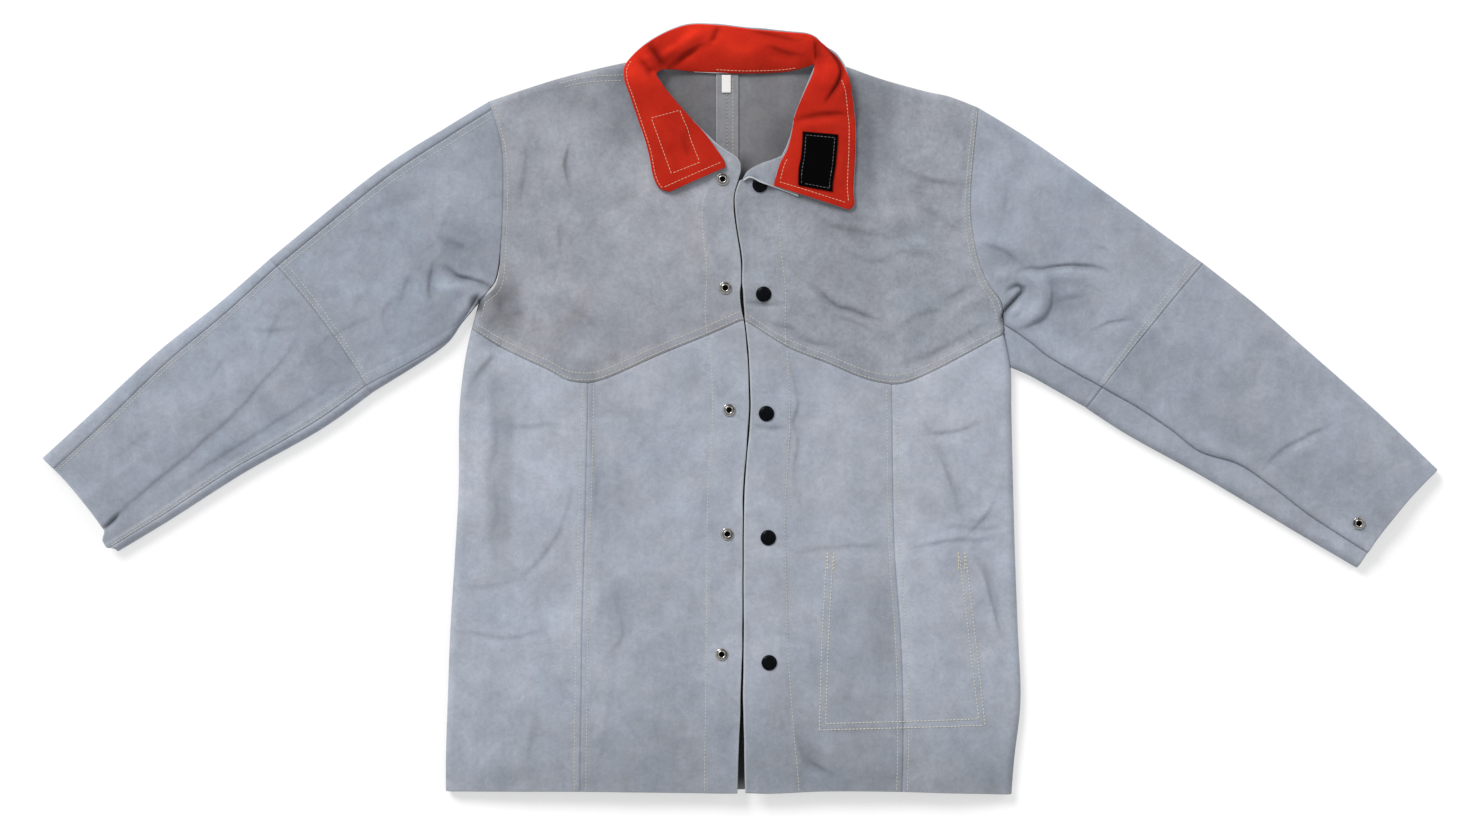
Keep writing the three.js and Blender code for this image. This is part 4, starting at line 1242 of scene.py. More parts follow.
COTTON_BUMP = {"strength": 0.5, "distance": 0.0005}
COTTON_SHEEN = {"Sheen Weight": 0.05, "Specular IOR Level": 0.05}
GRAIN_NOISE = {"detail": 3.0, "roughness": 0.6}
GRAIN_ROUGHNESS = (0.85, 1.15)
GRAIN_DEPTH = 0.0003
# Black standing for painted shade and painted reflection where a snap marks it
PAINTED_SHADE_AND_REFLECTION_COLOUR = (0.004, 0.004, 0.004, 1)
GRAINED = table(("name", "dark", "light", "scale", "rough", "metal", "strength", "gloss"), [
    ("black hook tape", (0.0008, 0.0008, 0.001, 1), (0.0025, 0.0025, 0.003, 1), 1400.0, 0.9, 0.0, 0.8, 0.02),
    ("white tape", (0.74, 0.74, 0.72, 1), (0.86, 0.86, 0.84, 1), 900.0, 0.85, 0.0, 0.2, 0.5),
    ("black enamel", (0.0015, 0.002, 0.003, 1), (0.004, 0.0045, 0.006, 1), 300.0, 0.26, 0.0, 0.05, 0.05),
    ("worn nickel", (0.40, 0.39, 0.37, 1), (0.72, 0.70, 0.66, 1), 500.0, 0.2, 1.0, 0.1, 0.5),
    ("beige thread", (0.48, 0.47, 0.42, 1), (0.64, 0.62, 0.55, 1), 600.0, 0.85, 0.0, 0.2, 0.1),
    ("yellow thread", (0.56, 0.52, 0.33, 1), (0.70, 0.66, 0.46, 1), 600.0, 0.85, 0.0, 0.2, 0.1),
    ("cream thread", (0.72, 0.36, 0.22, 1), (0.86, 0.58, 0.42, 1), 600.0, 0.85, 0.0, 0.2, 0.1),
    ("ash thread", (0.02, 0.02, 0.022, 1), (0.26, 0.26, 0.27, 1), 120.0, 0.85, 0.0, 0.2, 0.1),
])


def new_shader(name):
    material = bpy.data.materials.new(name)
    material.use_nodes = True
    tree = material.node_tree
    return material, tree, tree.nodes["Principled BSDF"]


def feed(tree, node, inputs):
    """Links each input to the output of another node, or sets it to a constant"""
    for socket, source in inputs.items():
        if hasattr(source, "is_output"):
            tree.links.new(source, node.inputs[socket])
        else:
            node.inputs[socket].default_value = source


def add_node(tree, kind, inputs, **settings):
    made = tree.nodes.new(kind)
    for key, value in settings.items():
        setattr(made, key, value)
    feed(tree, made, inputs)
    return made


def noise(tree, scale, detail, roughness, distortion=0.0, stretch=None):
    place = add_node(tree, "ShaderNodeTexCoord", {}).outputs["Object"]
    if stretch:
        place = add_node(tree, "ShaderNodeMapping", {"Vector": place, "Scale": stretch}).outputs["Vector"]
    inputs = {"Vector": place, "Scale": scale, "Detail": detail, "Roughness": roughness}
    return add_node(tree, "ShaderNodeTexNoise", {**inputs, "Distortion": distortion}).outputs["Fac"]


def spread(tree, value, low=0.0, high=1.0, start=0.3, end=0.7):
    inputs = {"Value": value, "From Min": start, "From Max": end, "To Min": low, "To Max": high}
    return add_node(tree, "ShaderNodeMapRange", inputs).outputs["Result"]


def combined(tree, operation, first, second):
    return add_node(tree, "ShaderNodeMath", {0: first, 1: second}, operation=operation).outputs[0]


def product(tree, *factors):
    result = factors[0]
    for factor in factors[1:]:
        result = combined(tree, "MULTIPLY", result, factor)
    return result


def wrinkle_lines(tree, field, width):
    """Thin winding lines along the middle values of noise, 0 on a line and 1 away from it"""
    off = combined(tree, "SUBTRACT", field, NOISE_MIDDLE)
    away = add_node(tree, "ShaderNodeMath", {0: off}, operation="ABSOLUTE").outputs[0]
    return spread(tree, away, start=0.0, end=width)


def attribute(tree, name):
    return add_node(tree, "ShaderNodeAttribute", {}, attribute_name=name).outputs["Fac"]


def scaled_colour(tree, colour, factor):
    made = add_node(tree, "ShaderNodeVectorMath", {0: colour, "Scale": factor}, operation="SCALE")
    return made.outputs["Vector"]


def tinted(tree, colour, tint):
    made = add_node(tree, "ShaderNodeVectorMath", {0: colour, 1: tint}, operation="MULTIPLY")
    return made.outputs["Vector"]


def blend(tree, factor, first, second):
    """Mix of two colours, which are inputs 6 and 7 of the node and come out at output 2"""
    return add_node(tree, "ShaderNodeMix", {0: factor, 6: first, 7: second}, data_type="RGBA").outputs[2]


def bump(tree, height, strength, distance):
    inputs = {"Height": height, "Strength": strength, "Distance": distance}
    return add_node(tree, "ShaderNodeBump", inputs).outputs["Normal"]


def leather_material():
    """Split leather: clouds, blots, streaks down the hide, brushed nap and thin wrinkles"""
    material, tree, shader = new_shader("grey suede")
    field = {name: noise(tree, *recipe) for name, recipe in SUEDE_NOISE.items()}
    field["wrinkles"] = wrinkle_lines(tree, field["wrinkles"], WRINKLE_WIDTH)
    colour = blend(tree, spread(tree, field["clouds"]), *SUEDE_COLOURS)
    hue = blend(tree, spread(tree, field["hues"]), *SUEDE_HUES)
    warmth = blend(tree, spread(tree, attribute(tree, "warm"), start=-1.0, end=1.0), *SUEDE_WARMTH)
    tones = {name: spread(tree, field[name], *span) for name, span in SUEDE_TONES.items()}
    brushed = combined(tree, "ADD", product(tree, tones["strokes"], attribute(tree, "worn")), 1.0)
    shade = product(tree, tones["blots"], tones["streaks"], brushed, tones["nap"], tones["wrinkles"])
    # Scaled by each piece's tone with its painted shade and painted light
    shade = product(tree, shade, attribute(tree, "tone_and_painted_light"))
    colour = scaled_colour(tree, tinted(tree, tinted(tree, colour, hue), warmth), shade)
    relief = 0.0
    for name, share in SUEDE_RELIEF.items():
        relief = combined(tree, "ADD", relief, product(tree, field[name], share))
    feed(tree, shader, {
        "Base Color": blend(tree, attribute(tree, "edge"), colour, CUT_COLOUR),
        "Roughness": spread(tree, field["blots"], *SUEDE_ROUGHNESS),
        "Normal": bump(tree, relief, **SUEDE_BUMP),
        **SUEDE_SHEEN,
    })
    return material


def cotton_material():
    material, tree, shader = new_shader("red cotton")
    clouds, weave = (noise(tree, *COTTON_NOISE[name]) for name in ("clouds", "weave"))
    colour = blend(tree, spread(tree, clouds), *COTTON_COLOURS)
    # Scaled by the facing's tone with its painted shade and painted light
    shade = product(tree, spread(tree, weave, *COTTON_TONES), attribute(tree, "tone_and_painted_light"))
    feed(tree, shader, {
        "Base Color": scaled_colour(tree, colour, shade),
        "Roughness": spread(tree, weave, *COTTON_ROUGHNESS),
        "Normal": bump(tree, weave, **COTTON_BUMP),
        **COTTON_SHEEN,
    })
    return material


def grained_material(name, dark, light, scale, rough, metal, strength, gloss):
    """A plain material with fine grain in its colour, roughness and surface, and black for painted shade in
    hollows and painted reflection, where marked
    """
    material, tree, shader = new_shader(name)
    grain = noise(tree, scale, **GRAIN_NOISE)
    colour = blend(tree, spread(tree, grain), dark, light)
    feed(tree, shader, {
        "Base Color": blend(tree, attribute(tree, "painted_shade_and_reflection"), colour, PAINTED_SHADE_AND_REFLECTION_COLOUR),
        "Roughness": spread(tree, grain, *(rough * share for share in GRAIN_ROUGHNESS)),
        "Normal": bump(tree, grain, strength, GRAIN_DEPTH),
        "Metallic": metal,
        "Specular IOR Level": gloss,
    })
    return material


SUEDE = leather_material()
RED = cotton_material()
HOOKS, WHITE, BLACK, METAL, BEIGE, YELLOW, CREAM, ASH = (grained_material(**row) for row in GRAINED)


# Leather pieces

def unit_grid(rows, columns, length_u, length_v):
    """Even grid over a piece, short of its seams by half the seam gap"""
    trim_u = SEAM_GAP / 2 / length_u
    trim_v = SEAM_GAP / 2 / length_v
    return grid_of(np.linspace(trim_u, 1 - trim_u, rows), np.linspace(trim_v, 1 - trim_v, columns))


def full_grid(rows, columns):
    return grid_of(np.linspace(0, 1, rows), np.linspace(0, 1, columns))


def fold_shade(x, y, rows, kind):
    """Painted shade down in a fold of leather or cotton, the more so the steeper it is, and painted light on
    a ridge
    """
    steepness = creases(x, y, [{**row, "height": row["height"] / row["reach"]} for row in rows])
    return np.clip(1 + FOLD_PAINTED_SHADE_AND_LIGHT[kind] * steepness, *FOLD_SHADES)


# Each leather piece's tone, with painted shade and painted light in its folds and at listed places
def piece_tone_and_painted_light(name, x, y):
    clouds = sum(row["share"] * cloud(x, y, row["size"], row["seed"]) for row in TONE_CLOUDS)
    tone_and_painted_light = LOOK[name][0] * (1 + WORN.get(name, 1) * clouds)
    # Painted shade in folds and painted light on ridges, except on the back pieces
    if not name.endswith("back"):
        tone_and_painted_light = tone_and_painted_light * fold_shade(x, y, CREASES, "leather")
    tone_and_painted_light = tone_and_painted_light * (1 + HEM_SHADE["gain"] * (1 - smoothstep(y, HEM_SHADE["low"], HEM_SHADE["high"])))
    # Painted shade and painted light at the listed places, with some patches of the hide's own colour
    for middle_x, middle_y, reach_x, reach_y, gain in PAINTED_LIGHT_AND_TONE_PATCHES.get(name, ()):
        away = ((x - middle_x) / reach_x) ** 4 + ((y - middle_y) / reach_y) ** 4
        tone_and_painted_light = tone_and_painted_light * (1 + gain * np.exp(-away))
    return tone_and_painted_light


def add_leather(name, walls):
    """A leather piece from walls, each a grid with its cut borders and how pale the faces beside them are"""
    parts = [sheet_arrays(grid, LEATHER, cut, pale) for grid, cut, pale in walls]
    vertices, faces, mark = joined_arrays(parts)
    attributes = {
        # Tone with the painted shade and painted light
        "tone_and_painted_light": piece_tone_and_painted_light(name, vertices[:, 0], vertices[:, 1]),
        "warm": np.full(len(vertices), LOOK[name][1]),
        "edge": mark,
        "worn": np.full(len(vertices), WORN.get(name, 1)),
    }
    piece = add_piece(name, vertices, faces, SUEDE, attributes, name)


def turned_corner():
    """Leather from the fold line of the left front over a tight roll and back down flat"""
    t = np.linspace(0, 1, CORNER_GRID["along"])
    fold = through(CORNER_FOLD)(t)
    edge = through(CORNER_EDGE)(t)
    direction = unit(np.subtract(CORNER_FOLD[-1], CORNER_FOLD[0]))
    outward = np.array([-direction[1], direction[0]])
    roll = CORNER_ROLL["start"] + (CORNER_ROLL["open"] - CORNER_ROLL["start"]) * smoothstep(t, *CORNER_OPENS)
    roll += (CORNER_ROLL["covered"] - CORNER_ROLL["open"]) * smoothstep(t, *CORNER_COVERED)
    lip = CORNER_LIP["height"] * (1 - smoothstep(t, *CORNER_LIP["fades"]))

    def raised(foot, level_at, rise):
        return np.column_stack([foot, front_height(level_at[:, 0], level_at[:, 1]) + rise])

    tucked = fold - outward * CORNER_TUCK
    rows = [raised(tucked, tucked, 0)]
    for angle in np.linspace(0, np.pi, CORNER_GRID["roll"]):
        foot = fold + outward * (roll * np.sin(angle))[:, None]
        rows.append(raised(foot, fold, roll * (1 - np.cos(angle))))
    for share in np.linspace(CORNER_FLAP_FROM, 1, CORNER_GRID["flap"]):
        foot = fold + (edge - fold) * share
        waves = cloud(foot[:, 0], foot[:, 1], CORNER_CURL["size"], CORNER_CURL["seed"])
        curl = CORNER_CURL["height"] * share ** 3 * waves
        rows.append(raised(foot, foot, 2 * roll + curl + lip * smoothstep(share, *CORNER_LIP["rises"])))
    return np.stack(rows, axis=1)


# Rows and columns of each grid, its size in plan, the flat size of the piece in metres and its cut borders
BODY_GRIDS = {
    "yoke": (yoke_surface, 146, 134, YOKE_WIDTH, YOKE_LENGTH, (0.33, 0.36), ("u0",)),
    "front": (front_surface, 84, 220, FRONT_WIDTH, PANEL_LENGTH, (0.19, 0.53), ("u0", "v0")),
    "side": (side_surface, 76, 220, SIDE_WIDTH, PANEL_LENGTH, (0.15, 0.52), ("v0",)),
    "back": (back_surface, 46, 74, BACK_WIDTH, BACK_LENGTH, (0.33, 0.82), ("v0",)),
}
SLEEVE_GRIDS = {
    "upper_sleeve_front": (132, 122, UPPER_LENGTH, (0.34, 0.28), ()),
    "upper_sleeve_back": (62, 64, UPPER_LENGTH, (0.36, 0.33), ()),
    "forearm_front": (140, 84, FOREARM_LENGTH, (0.21, 0.36), ("u1",)),
    "forearm_back": (84, 62, FOREARM_LENGTH, (0.25, 0.37), ("u1",)),
}
FOLD_ROWS = 14
TAPE_GRID = (24, 120)
TAPE_GROOVE = {"depth": 0.7, "reach": 1.2}
POCKET_GRID = (24, 24)

surfaces = {}


def crowd_to_fold(shares, length):
    """Moves the last shares of a row so that they are close together on the fold of the outline"""
    reach = FOLD_REACH / length
    flat = np.linspace(shares[0], 1 - reach, len(shares) - FOLD_ROWS)
    turn = 1 - reach * np.cos(np.linspace(0, np.pi / 2, FOLD_ROWS + 1))
    return np.concatenate([flat, turn[1:]])


def body_grid(kind, surface, rows, columns, width, length):
    u, v = unit_grid(rows, columns, width, length)
    if kind in ("side", "back"):
        u = np.repeat(crowd_to_fold(u[:, 0], width)[:, None], columns, 1)
    if kind in ("yoke", "back"):
        v = np.repeat(crowd_to_fold(v[0], length)[None], rows, 0)
    return surface(u, v)


def back_tape_grid():
    across = np.linspace(-TAPE_WIDTH / 2, TAPE_WIDTH / 2, TAPE_GRID[0])
    x, y = grid_of(across, np.linspace(BACK_HEM_Y, BACK_NECK_Y, TAPE_GRID[1]))
    groove = TAPE_GROOVE["depth"] * bell(x, TAPE_GROOVE["reach"])
    x = x + BACK_SEAM_X
    return np.stack([x, y, back_height(x, y) + LEATHER / 2 + LAYER_GAP + TAPE / 2 - groove], -1)


def pocket_grid():
    u, v = full_grid(*POCKET_GRID)
    place = through(POCKET_LEFT)(v) * (1 - u[..., None]) + through(POCKET_RIGHT)(v) * u[..., None]
    x, y = place[..., 0], place[..., 1]
    return np.stack([x, y, front_height(x, y) - LEATHER - POCKET_GAP], -1)


for side in SIDES:
    for kind, (make, rows, columns, width, length, flat, cut) in BODY_GRIDS.items():
        name = f"{side}_{kind}"
        surfaces[name] = make(side)
        walls = [(body_grid(kind, surfaces[name], rows, columns, width, length), cut, CUT_FACE)]
        if name == "left_yoke":
            walls.append((turned_corner(), ("v1",), CORNER_PALENESS))
        add_leather(name, walls)
    for kind, surface in sleeve_surfaces(side).items():
        name = f"{side}_{kind}"
        surfaces[name] = surface
        rows, columns, length, flat, cut = SLEEVE_GRIDS[kind]
        add_leather(name, [(surface(*unit_grid(rows, columns, length, SLEEVE_GIRTH)), cut, CUT_FACE)])
add_leather("back_seam_tape", [(back_tape_grid(), ("u0", "u1"), CUT_FACE)])
add_leather("inside_pocket", [(pocket_grid(), (), CUT_FACE)])


# Collar pieces

COLLAR_GRID = (150, 20)
FACING_GRID = (300, 40)
FACING_INSET = {"along": 0.003, "across": 0.012}
FACING_CLOUDS = {"share": 0.08, "size": 30, "seed": 41}
# Painted shade on the collar's leaves and painted light on its stand, blended between these heights
LEAF_PAINTED_SHADE = 0.735
STAND_PAINTED_LIGHT = 1.19
STAND_BETWEEN = (345.0, 385.0)
# Painted shade on the cotton where the collar turns from its leaves into the stand
TURN_SHADE = {"x": 92.0, "y": 388.0, "reach": 22.0, "gain": -0.24}
PLACE_GRID = (241, 25)
PLACE_STEP = 1e-4
PLACE_ROUNDS = 8
HOOK_GRID = (24, 40)
LABEL_GRID = (8, 14)
LABEL_CURL = 0.5


def leather_grid():
    along, across = (np.linspace(0, 1, count) for count in COLLAR_GRID)
    return collar_sheet(along, across, -(COLLAR_GAP + LEATHER) / 2)


def facing_grid():
    along, across = (
        np.linspace(inset, 1 - inset, count) for inset, count in zip(FACING_INSET.values(), FACING_GRID)
    )
    return collar_sheet(along, across, FACING_RISE)


def facing_tone_and_painted_light(x, y):
    tone_and_painted_light = 1 + FACING_CLOUDS["share"] * cloud(x, y, FACING_CLOUDS["size"], FACING_CLOUDS["seed"])
    # Painted shade in the collar's folds and painted light on their ridges
    tone_and_painted_light = tone_and_painted_light * fold_shade(x, y, COLLAR_FOLDS, "cotton")
    # Painted shade on the leaves and painted light on the stand
    tone_and_painted_light = tone_and_painted_light * (LEAF_PAINTED_SHADE + (STAND_PAINTED_LIGHT - LEAF_PAINTED_SHADE) * smoothstep(y, *STAND_BETWEEN))
    # Painted shade where the collar turns into the stand
    away = np.hypot(np.abs(x) - TURN_SHADE["x"], y - TURN_SHADE["y"])
    return tone_and_painted_light * (1 + TURN_SHADE["gain"] * bell(away, TURN_SHADE["reach"]))


def collar_plan(s, w):
    return across_collar(s, w)[..., :2]


def crossed(first, second):
    return first[:, 0] * second[:, 1] - first[:, 1] * second[:, 0]


def collar_place(points):
    """Collar shares of places in plan: the nearest of a grid of shares, then a few steps towards the place"""
    points = np.asarray(points, float)
    s, w = (shares.ravel() for shares in full_grid(*PLACE_GRID))
    nearest = ((collar_plan(s, w) - points[:, None]) ** 2).sum(2).argmin(1)
    s, w = s[nearest], w[nearest]
    for _ in range(PLACE_ROUNDS):
        left = points - collar_plan(s, w)
        along = (collar_plan(s + PLACE_STEP, w) - collar_plan(s - PLACE_STEP, w)) / (2 * PLACE_STEP)
        across = (collar_plan(s, w + PLACE_STEP) - collar_plan(s, w - PLACE_STEP)) / (2 * PLACE_STEP)
        size = crossed(along, across)
        s = np.clip(s + crossed(left, across) / size, 0, 1)
        w = np.clip(w + crossed(along, left) / size, 0, 1)
    return s, w


PATCH_PLACE = collar_place(PATCH_CORNERS)


def on_patch(u, v):
    """Collar shares at a place on the hook patch"""
    weights = ((1 - u) * (1 - v), u * (1 - v), u * v, (1 - u) * v)
    return [sum(weight * share for weight, share in zip(weights, shares)) for shares in PATCH_PLACE]


def hook_grid():
    return facing_surface(LAYER_GAP + TAPE / 2)(*on_patch(*full_grid(*HOOK_GRID)))


def label_grid():
    u, v = full_grid(*LABEL_GRID)
    x = LABEL_SIZE["x"] + LABEL_SIZE["width"] * (u - 0.5)
    y = LABEL_SIZE["top"] - LABEL_SIZE["length"] * (1 - v)
    lift = LEATHER / 2 + LAYER_GAP + TAPE + LAYER_GAP + LABEL / 2 + LABEL_CURL * (1 - v) ** 2
    return np.stack([x, y, back_height(x, y) + lift], -1)


add_leather("collar_leather", [(leather_grid(), (), CUT_FACE)])
grid = facing_grid()
facing = add_sheet("collar_facing", grid, COTTON, RED, facing_tone_and_painted_light)
grid = hook_grid()
hook = add_sheet("hook_patch", grid, TAPE, HOOKS)
label = add_sheet("size_label", label_grid(), LABEL, WHITE)


# Snaps

# Profiles as radius and height, from the axis below to the axis above
STUD_PROFILE = (
    (0, 0), (6.4, 0), (6.8, 0.35), (6.75, 0.9), (6.3, 1.15), (5.6, 1.0), (4.9, 0.75), (4.7, 0.8),
    (4.5, 1.1), (4.3, 1.7), (4.2, 2.3), (4.3, 2.9), (4.15, 3.3), (3.75, 3.45), (3.3, 3.35), (3.0, 3.0),
    (2.9, 2.2), (2.8, 0.9), (2.4, 0.7), (0, 0.7),
)
CAP_PROFILE = (
    (0, 0), (8.0, 0), (8.4, 0.25), (8.5, 0.6), (8.35, 0.95), (7.9, 1.25), (7.2, 1.6), (6.2, 1.98),
    (5.0, 2.26), (3.6, 2.46), (2.0, 2.57), (0.8, 2.6), (0, 2.6),
)
# Painted shade in the hollow middle of each stud, fading out between these radii, and in the groove round its
# post
HOLE_EDGE = (2.95, 3.25)
STUD_GROOVE = {"radius": 4.75, "reach": 0.35, "dark": 0.6}
# Painted dark reflection, a crescent on the ring of each stud, and the way it faces in degrees from the
# wearer's left
CRESCENT = {"radius": 5.3, "reach": 0.9, "dark": 0.9}
CRESCENT_FADE = (0.0, 0.7)
CRESCENT_TURNS = (80, 50, 45, -20, 20)
CUFF_CRESCENT_TURN = 150
SEAT_STEP = 6.0


def turned(profile):
    """Closed surface turned about Z from a profile of radius and height that starts and ends on the axis"""
    angle = np.linspace(0, 2 * np.pi, SNAP_SIDES, endpoint=False)
    rings = [
        np.column_stack([radius * np.cos(angle), radius * np.sin(angle), np.full(SNAP_SIDES, float(height))])
        for radius, height in profile[1:-1]
    ]
    vertices = np.concatenate(rings + [[[0, 0, profile[0][1]], [0, 0, profile[-1][1]]]])
    foot, tip = len(vertices) - 2, len(vertices) - 1
    top = (len(rings) - 1) * SNAP_SIDES
    steps = list(range(SNAP_SIDES))
    pairs = list(zip(steps, steps[1:] + steps[:1]))
    faces = ring_quads(len(rings), SNAP_SIDES).tolist()
    faces += [[foot, b, a] for a, b in pairs]
    faces += [[tip, top + a, top + b] for a, b in pairs]
    return vertices, faces


def seated(vertices, seat):
    """Points of a snap moved onto the leather at its seat and tilted with it"""
    x, y = (np.array(float(value)) for value in seat)
    slope_x = (front_height(x + SEAT_STEP, y) - front_height(x - SEAT_STEP, y)) / (2 * SEAT_STEP)
    slope_y = (front_height(x, y + SEAT_STEP) - front_height(x, y - SEAT_STEP)) / (2 * SEAT_STEP)
    normal = unit(np.array([-slope_x, -slope_y, 1.0]))
    side_x = unit(np.cross([0.0, 1.0, 0.0], normal))
    foot = np.array([x, y, front_height(x, y)]) + normal * (LEATHER / 2 + LAYER_GAP + SNAP_LIFT)
    return foot + vertices @ np.stack([side_x, np.cross(normal, side_x), normal])


def painted_stud_shade_and_reflection(vertices, turn):
    """How black a stud is: painted shade in its hollow middle and in the groove round it, and a painted dark
    reflection on the crescent
    """
    radius = np.hypot(vertices[:, 0], vertices[:, 1])
    angle = np.arctan2(vertices[:, 1], vertices[:, 0]) - np.radians(turn)
    groove = STUD_GROOVE["dark"] * bell(radius - STUD_GROOVE["radius"], STUD_GROOVE["reach"])
    crescent = CRESCENT["dark"] * bell(radius - CRESCENT["radius"], CRESCENT["reach"])
    crescent = crescent * smoothstep(np.cos(angle), *CRESCENT_FADE)
    return np.maximum(1 - smoothstep(radius, *HOLE_EDGE), np.maximum(groove, crescent))


def add_snap(name, profile, seat, material, turn=None):
    vertices, faces = turned(profile)
    # Studs get painted shade in the hollow and groove and a painted dark reflection on the crescent; caps get
    # none
    painted_shade_and_reflection = np.zeros(len(vertices)) if turn is None else painted_stud_shade_and_reflection(vertices, turn)
    add_piece(name, seated(vertices, seat), faces, material, {"painted_shade_and_reflection": painted_shade_and_reflection}, name)


for place, (seat, turn) in enumerate(zip(STUD_SEATS, CRESCENT_TURNS), 1):
    add_snap(f"snap_stud_{place}", STUD_PROFILE, seat, METAL, turn)
for place, seat in enumerate(CAP_SEATS, 1):
    add_snap(f"snap_cap_{place}", CAP_PROFILE, seat, BLACK)
add_snap("cuff_stud", STUD_PROFILE, CUFF_STUD_SEAT, METAL, CUFF_CRESCENT_TURN)


# Stitches: short rounded bars along a line on a surface

# Shares of a stitch's length and of its radius there
BAR_SHAPE = ((0.0, 0.35), (0.22, 1.0), (0.78, 1.0), (1.0, 0.35))
STITCH_RISE = LEATHER / 2 + 0.12
COTTON_STITCH_RISE = 0.1
TAPE_STITCH_RISE = 0.2
LINE_STEPS = 260
LOOP_STEPS = 60
COLLAR_STEPS = 300
PATCH_STEPS = 80
# Where the rows beside the borders of the pieces start and end, as shares of the border
YOKE_STOPS = (0.005, 0.995)
ARMHOLE_STOPS = (0.06, 0.985)
PANEL_STOPS = (0.004, 0.99)
PLACKET_STOPS = (0.004, 0.996)
YOKE_PLACKET_STOPS = (0.004, 0.47)
SLEEVE_STOPS = (0.01, 0.99)
POCKET_INSETS = (0.0, 7.0)
# Rows across the plackets, a small stitched rectangle on the right one and the right shoulder seam
CROSS_ROWS = {"right": (-75, -181), "left": (112, -19)}
CROSS_ROW_INSET = 2
CROSS_ROW_SHORT = 3
TAB_RECTANGLE = ((-27, -190), (-10, -190), (-10, -218), (-27, -218), (-27, -190))
SHOULDER_ROWS = (((-128, 368), (-166, 366), (-201, 358)), ((-130, 362), (-168, 360), (-196, 354)))
OUTER_ROW = {"right": 3.6, "left": 8.0}
LEAF_ROWS = {"right": (0.9, 7.2), "left": (16.2, 22.1)}
NECK_ROWS = ((10.0, 12.4), (20.6, 22.1))
NECK_ROW_SHARE = 0.07
PATCH_INSET = {"u": 0.09, "v": 0.06}
TACK_LENGTH = 21.0
TACK_ABOVE = 4
TACK_SPACING = (1.0, 8.0)
TAPE_ROWS = (-0.2, 6.2)
TAPE_ROW_INSET = 4


def stitch_ends(line):
    along = travelled(line)
    starts = np.arange(0, along[-1] - STITCH_LENGTH, STITCH_PITCH)

    def at(distance):
        return np.stack([np.interp(distance, along, axis) for axis in line.T], -1)

    return at(starts), at(starts + STITCH_LENGTH)


def stitch_arrays(lines, radius):
    starts, ends = (np.concatenate(part) for part in zip(*(stitch_ends(line) for line in lines)))
    along = ends - starts
    direction = unit(along)
    across = unit(np.cross(direction, [0.0, 0.0, 1.0]))
    upward = np.cross(across, direction)
    rings = []
    for share, wide in BAR_SHAPE:
        for turn in np.linspace(0, 2 * np.pi, STITCH_SIDES, endpoint=False):
            aside = across * np.cos(turn) + upward * np.sin(turn)
            rings.append(starts + along * share + radius * wide * aside)
    vertices = np.stack(rings, axis=1)
    steps = np.arange(STITCH_SIDES)
    caps = np.array([steps[::-1], (len(BAR_SHAPE) - 1) * STITCH_SIDES + steps])
    offsets = (np.arange(len(starts)) * vertices.shape[1])[:, None, None]
    quads = (ring_quads(len(BAR_SHAPE), STITCH_SIDES) + offsets).reshape(-1, 4)
    return vertices.reshape(-1, 3), quads.tolist() + (caps + offsets).reshape(-1, STITCH_SIDES).tolist()


def add_stitches(name, lines, material, thread="plain"):
    vertices, faces = stitch_arrays(lines, THREAD[thread])
    add_piece(name, vertices, faces, material)


def surface_line(name, u, v):
    """Line on a leather piece through places (u, v) at even stops"""
    t = np.linspace(0, 1, LINE_STEPS)
    u, v = (np.interp(t, np.linspace(0, 1, len(stops)), stops) for stops in (u, v))
    points = surfaces[name](u, v)
    points[:, 2] += STITCH_RISE
    return points


def border_row(name, border, offset, length, stops):
    """Line on a leather piece at an even distance from one of its borders"""
    share = offset / length if border.endswith("0") else 1 - offset / length
    even = (share, share)
    return surface_line(name, even, stops) if border.startswith("u") else surface_line(name, stops, even)


def plan_line(points):
    place = through(points)(np.linspace(0, 1, LINE_STEPS))
    return np.column_stack([place, front_height(place[:, 0], place[:, 1]) + STITCH_RISE])


def plan_loop(corners):
    return [plan_line(ends) for ends in zip(corners, corners[1:])]


def body_rows(side):
    yoke, front = f"{side}_yoke", f"{side}_front"
    armhole_rows = STITCH_ROWS if ARMHOLE_SEAM[side] == "lapped" else (PRESSED_ROW,)
    lines = [border_row(yoke, "v0", offset, YOKE_LENGTH, YOKE_STOPS) for offset in STITCH_ROWS]
    lines += [border_row(yoke, "u1", offset, YOKE_WIDTH, ARMHOLE_STOPS) for offset in armhole_rows]
    lines.append(border_row(f"{side}_side", "u0", PRESSED_ROW, SIDE_WIDTH, PANEL_STOPS))
    lines.append(border_row(front, "u1", PRESSED_ROW, FRONT_WIDTH, PANEL_STOPS))
    lines.append(surface_line(front, np.array(PLACKET[side]) / FRONT_WIDTH, PLACKET_STOPS))
    lines.append(surface_line(yoke, np.array(YOKE_PLACKET[side]) / YOKE_WIDTH, YOKE_PLACKET_STOPS))
    return lines


def sleeve_rows(side):
    upper, forearm = (f"{side}_{part}_front" for part in ("upper_sleeve", "forearm"))
    borders = [(upper, "u1", UPPER_LENGTH), (upper, "v0", SLEEVE_GIRTH), (forearm, "v0", SLEEVE_GIRTH)]
    if BOTTOM_SEAM[side] == "lapped":
        borders.append((forearm, "v1", SLEEVE_GIRTH))
    return [
        border_row(name, border, offset, length, SLEEVE_STOPS)
        for offset in STITCH_ROWS
        for name, border, length in borders
    ]


def pocket_rows():
    lines = []
    for inset in POCKET_INSETS:
        left, right = (
            [(x + way * inset, y + (inset if place == 0 else 0)) for place, (x, y) in enumerate(points)]
            for points, way in ((POCKET_LEFT, 1), (POCKET_RIGHT, -1))
        )
        lines += [plan_line(left), plan_line(right), plan_line((left[0], right[0]))]
    return lines


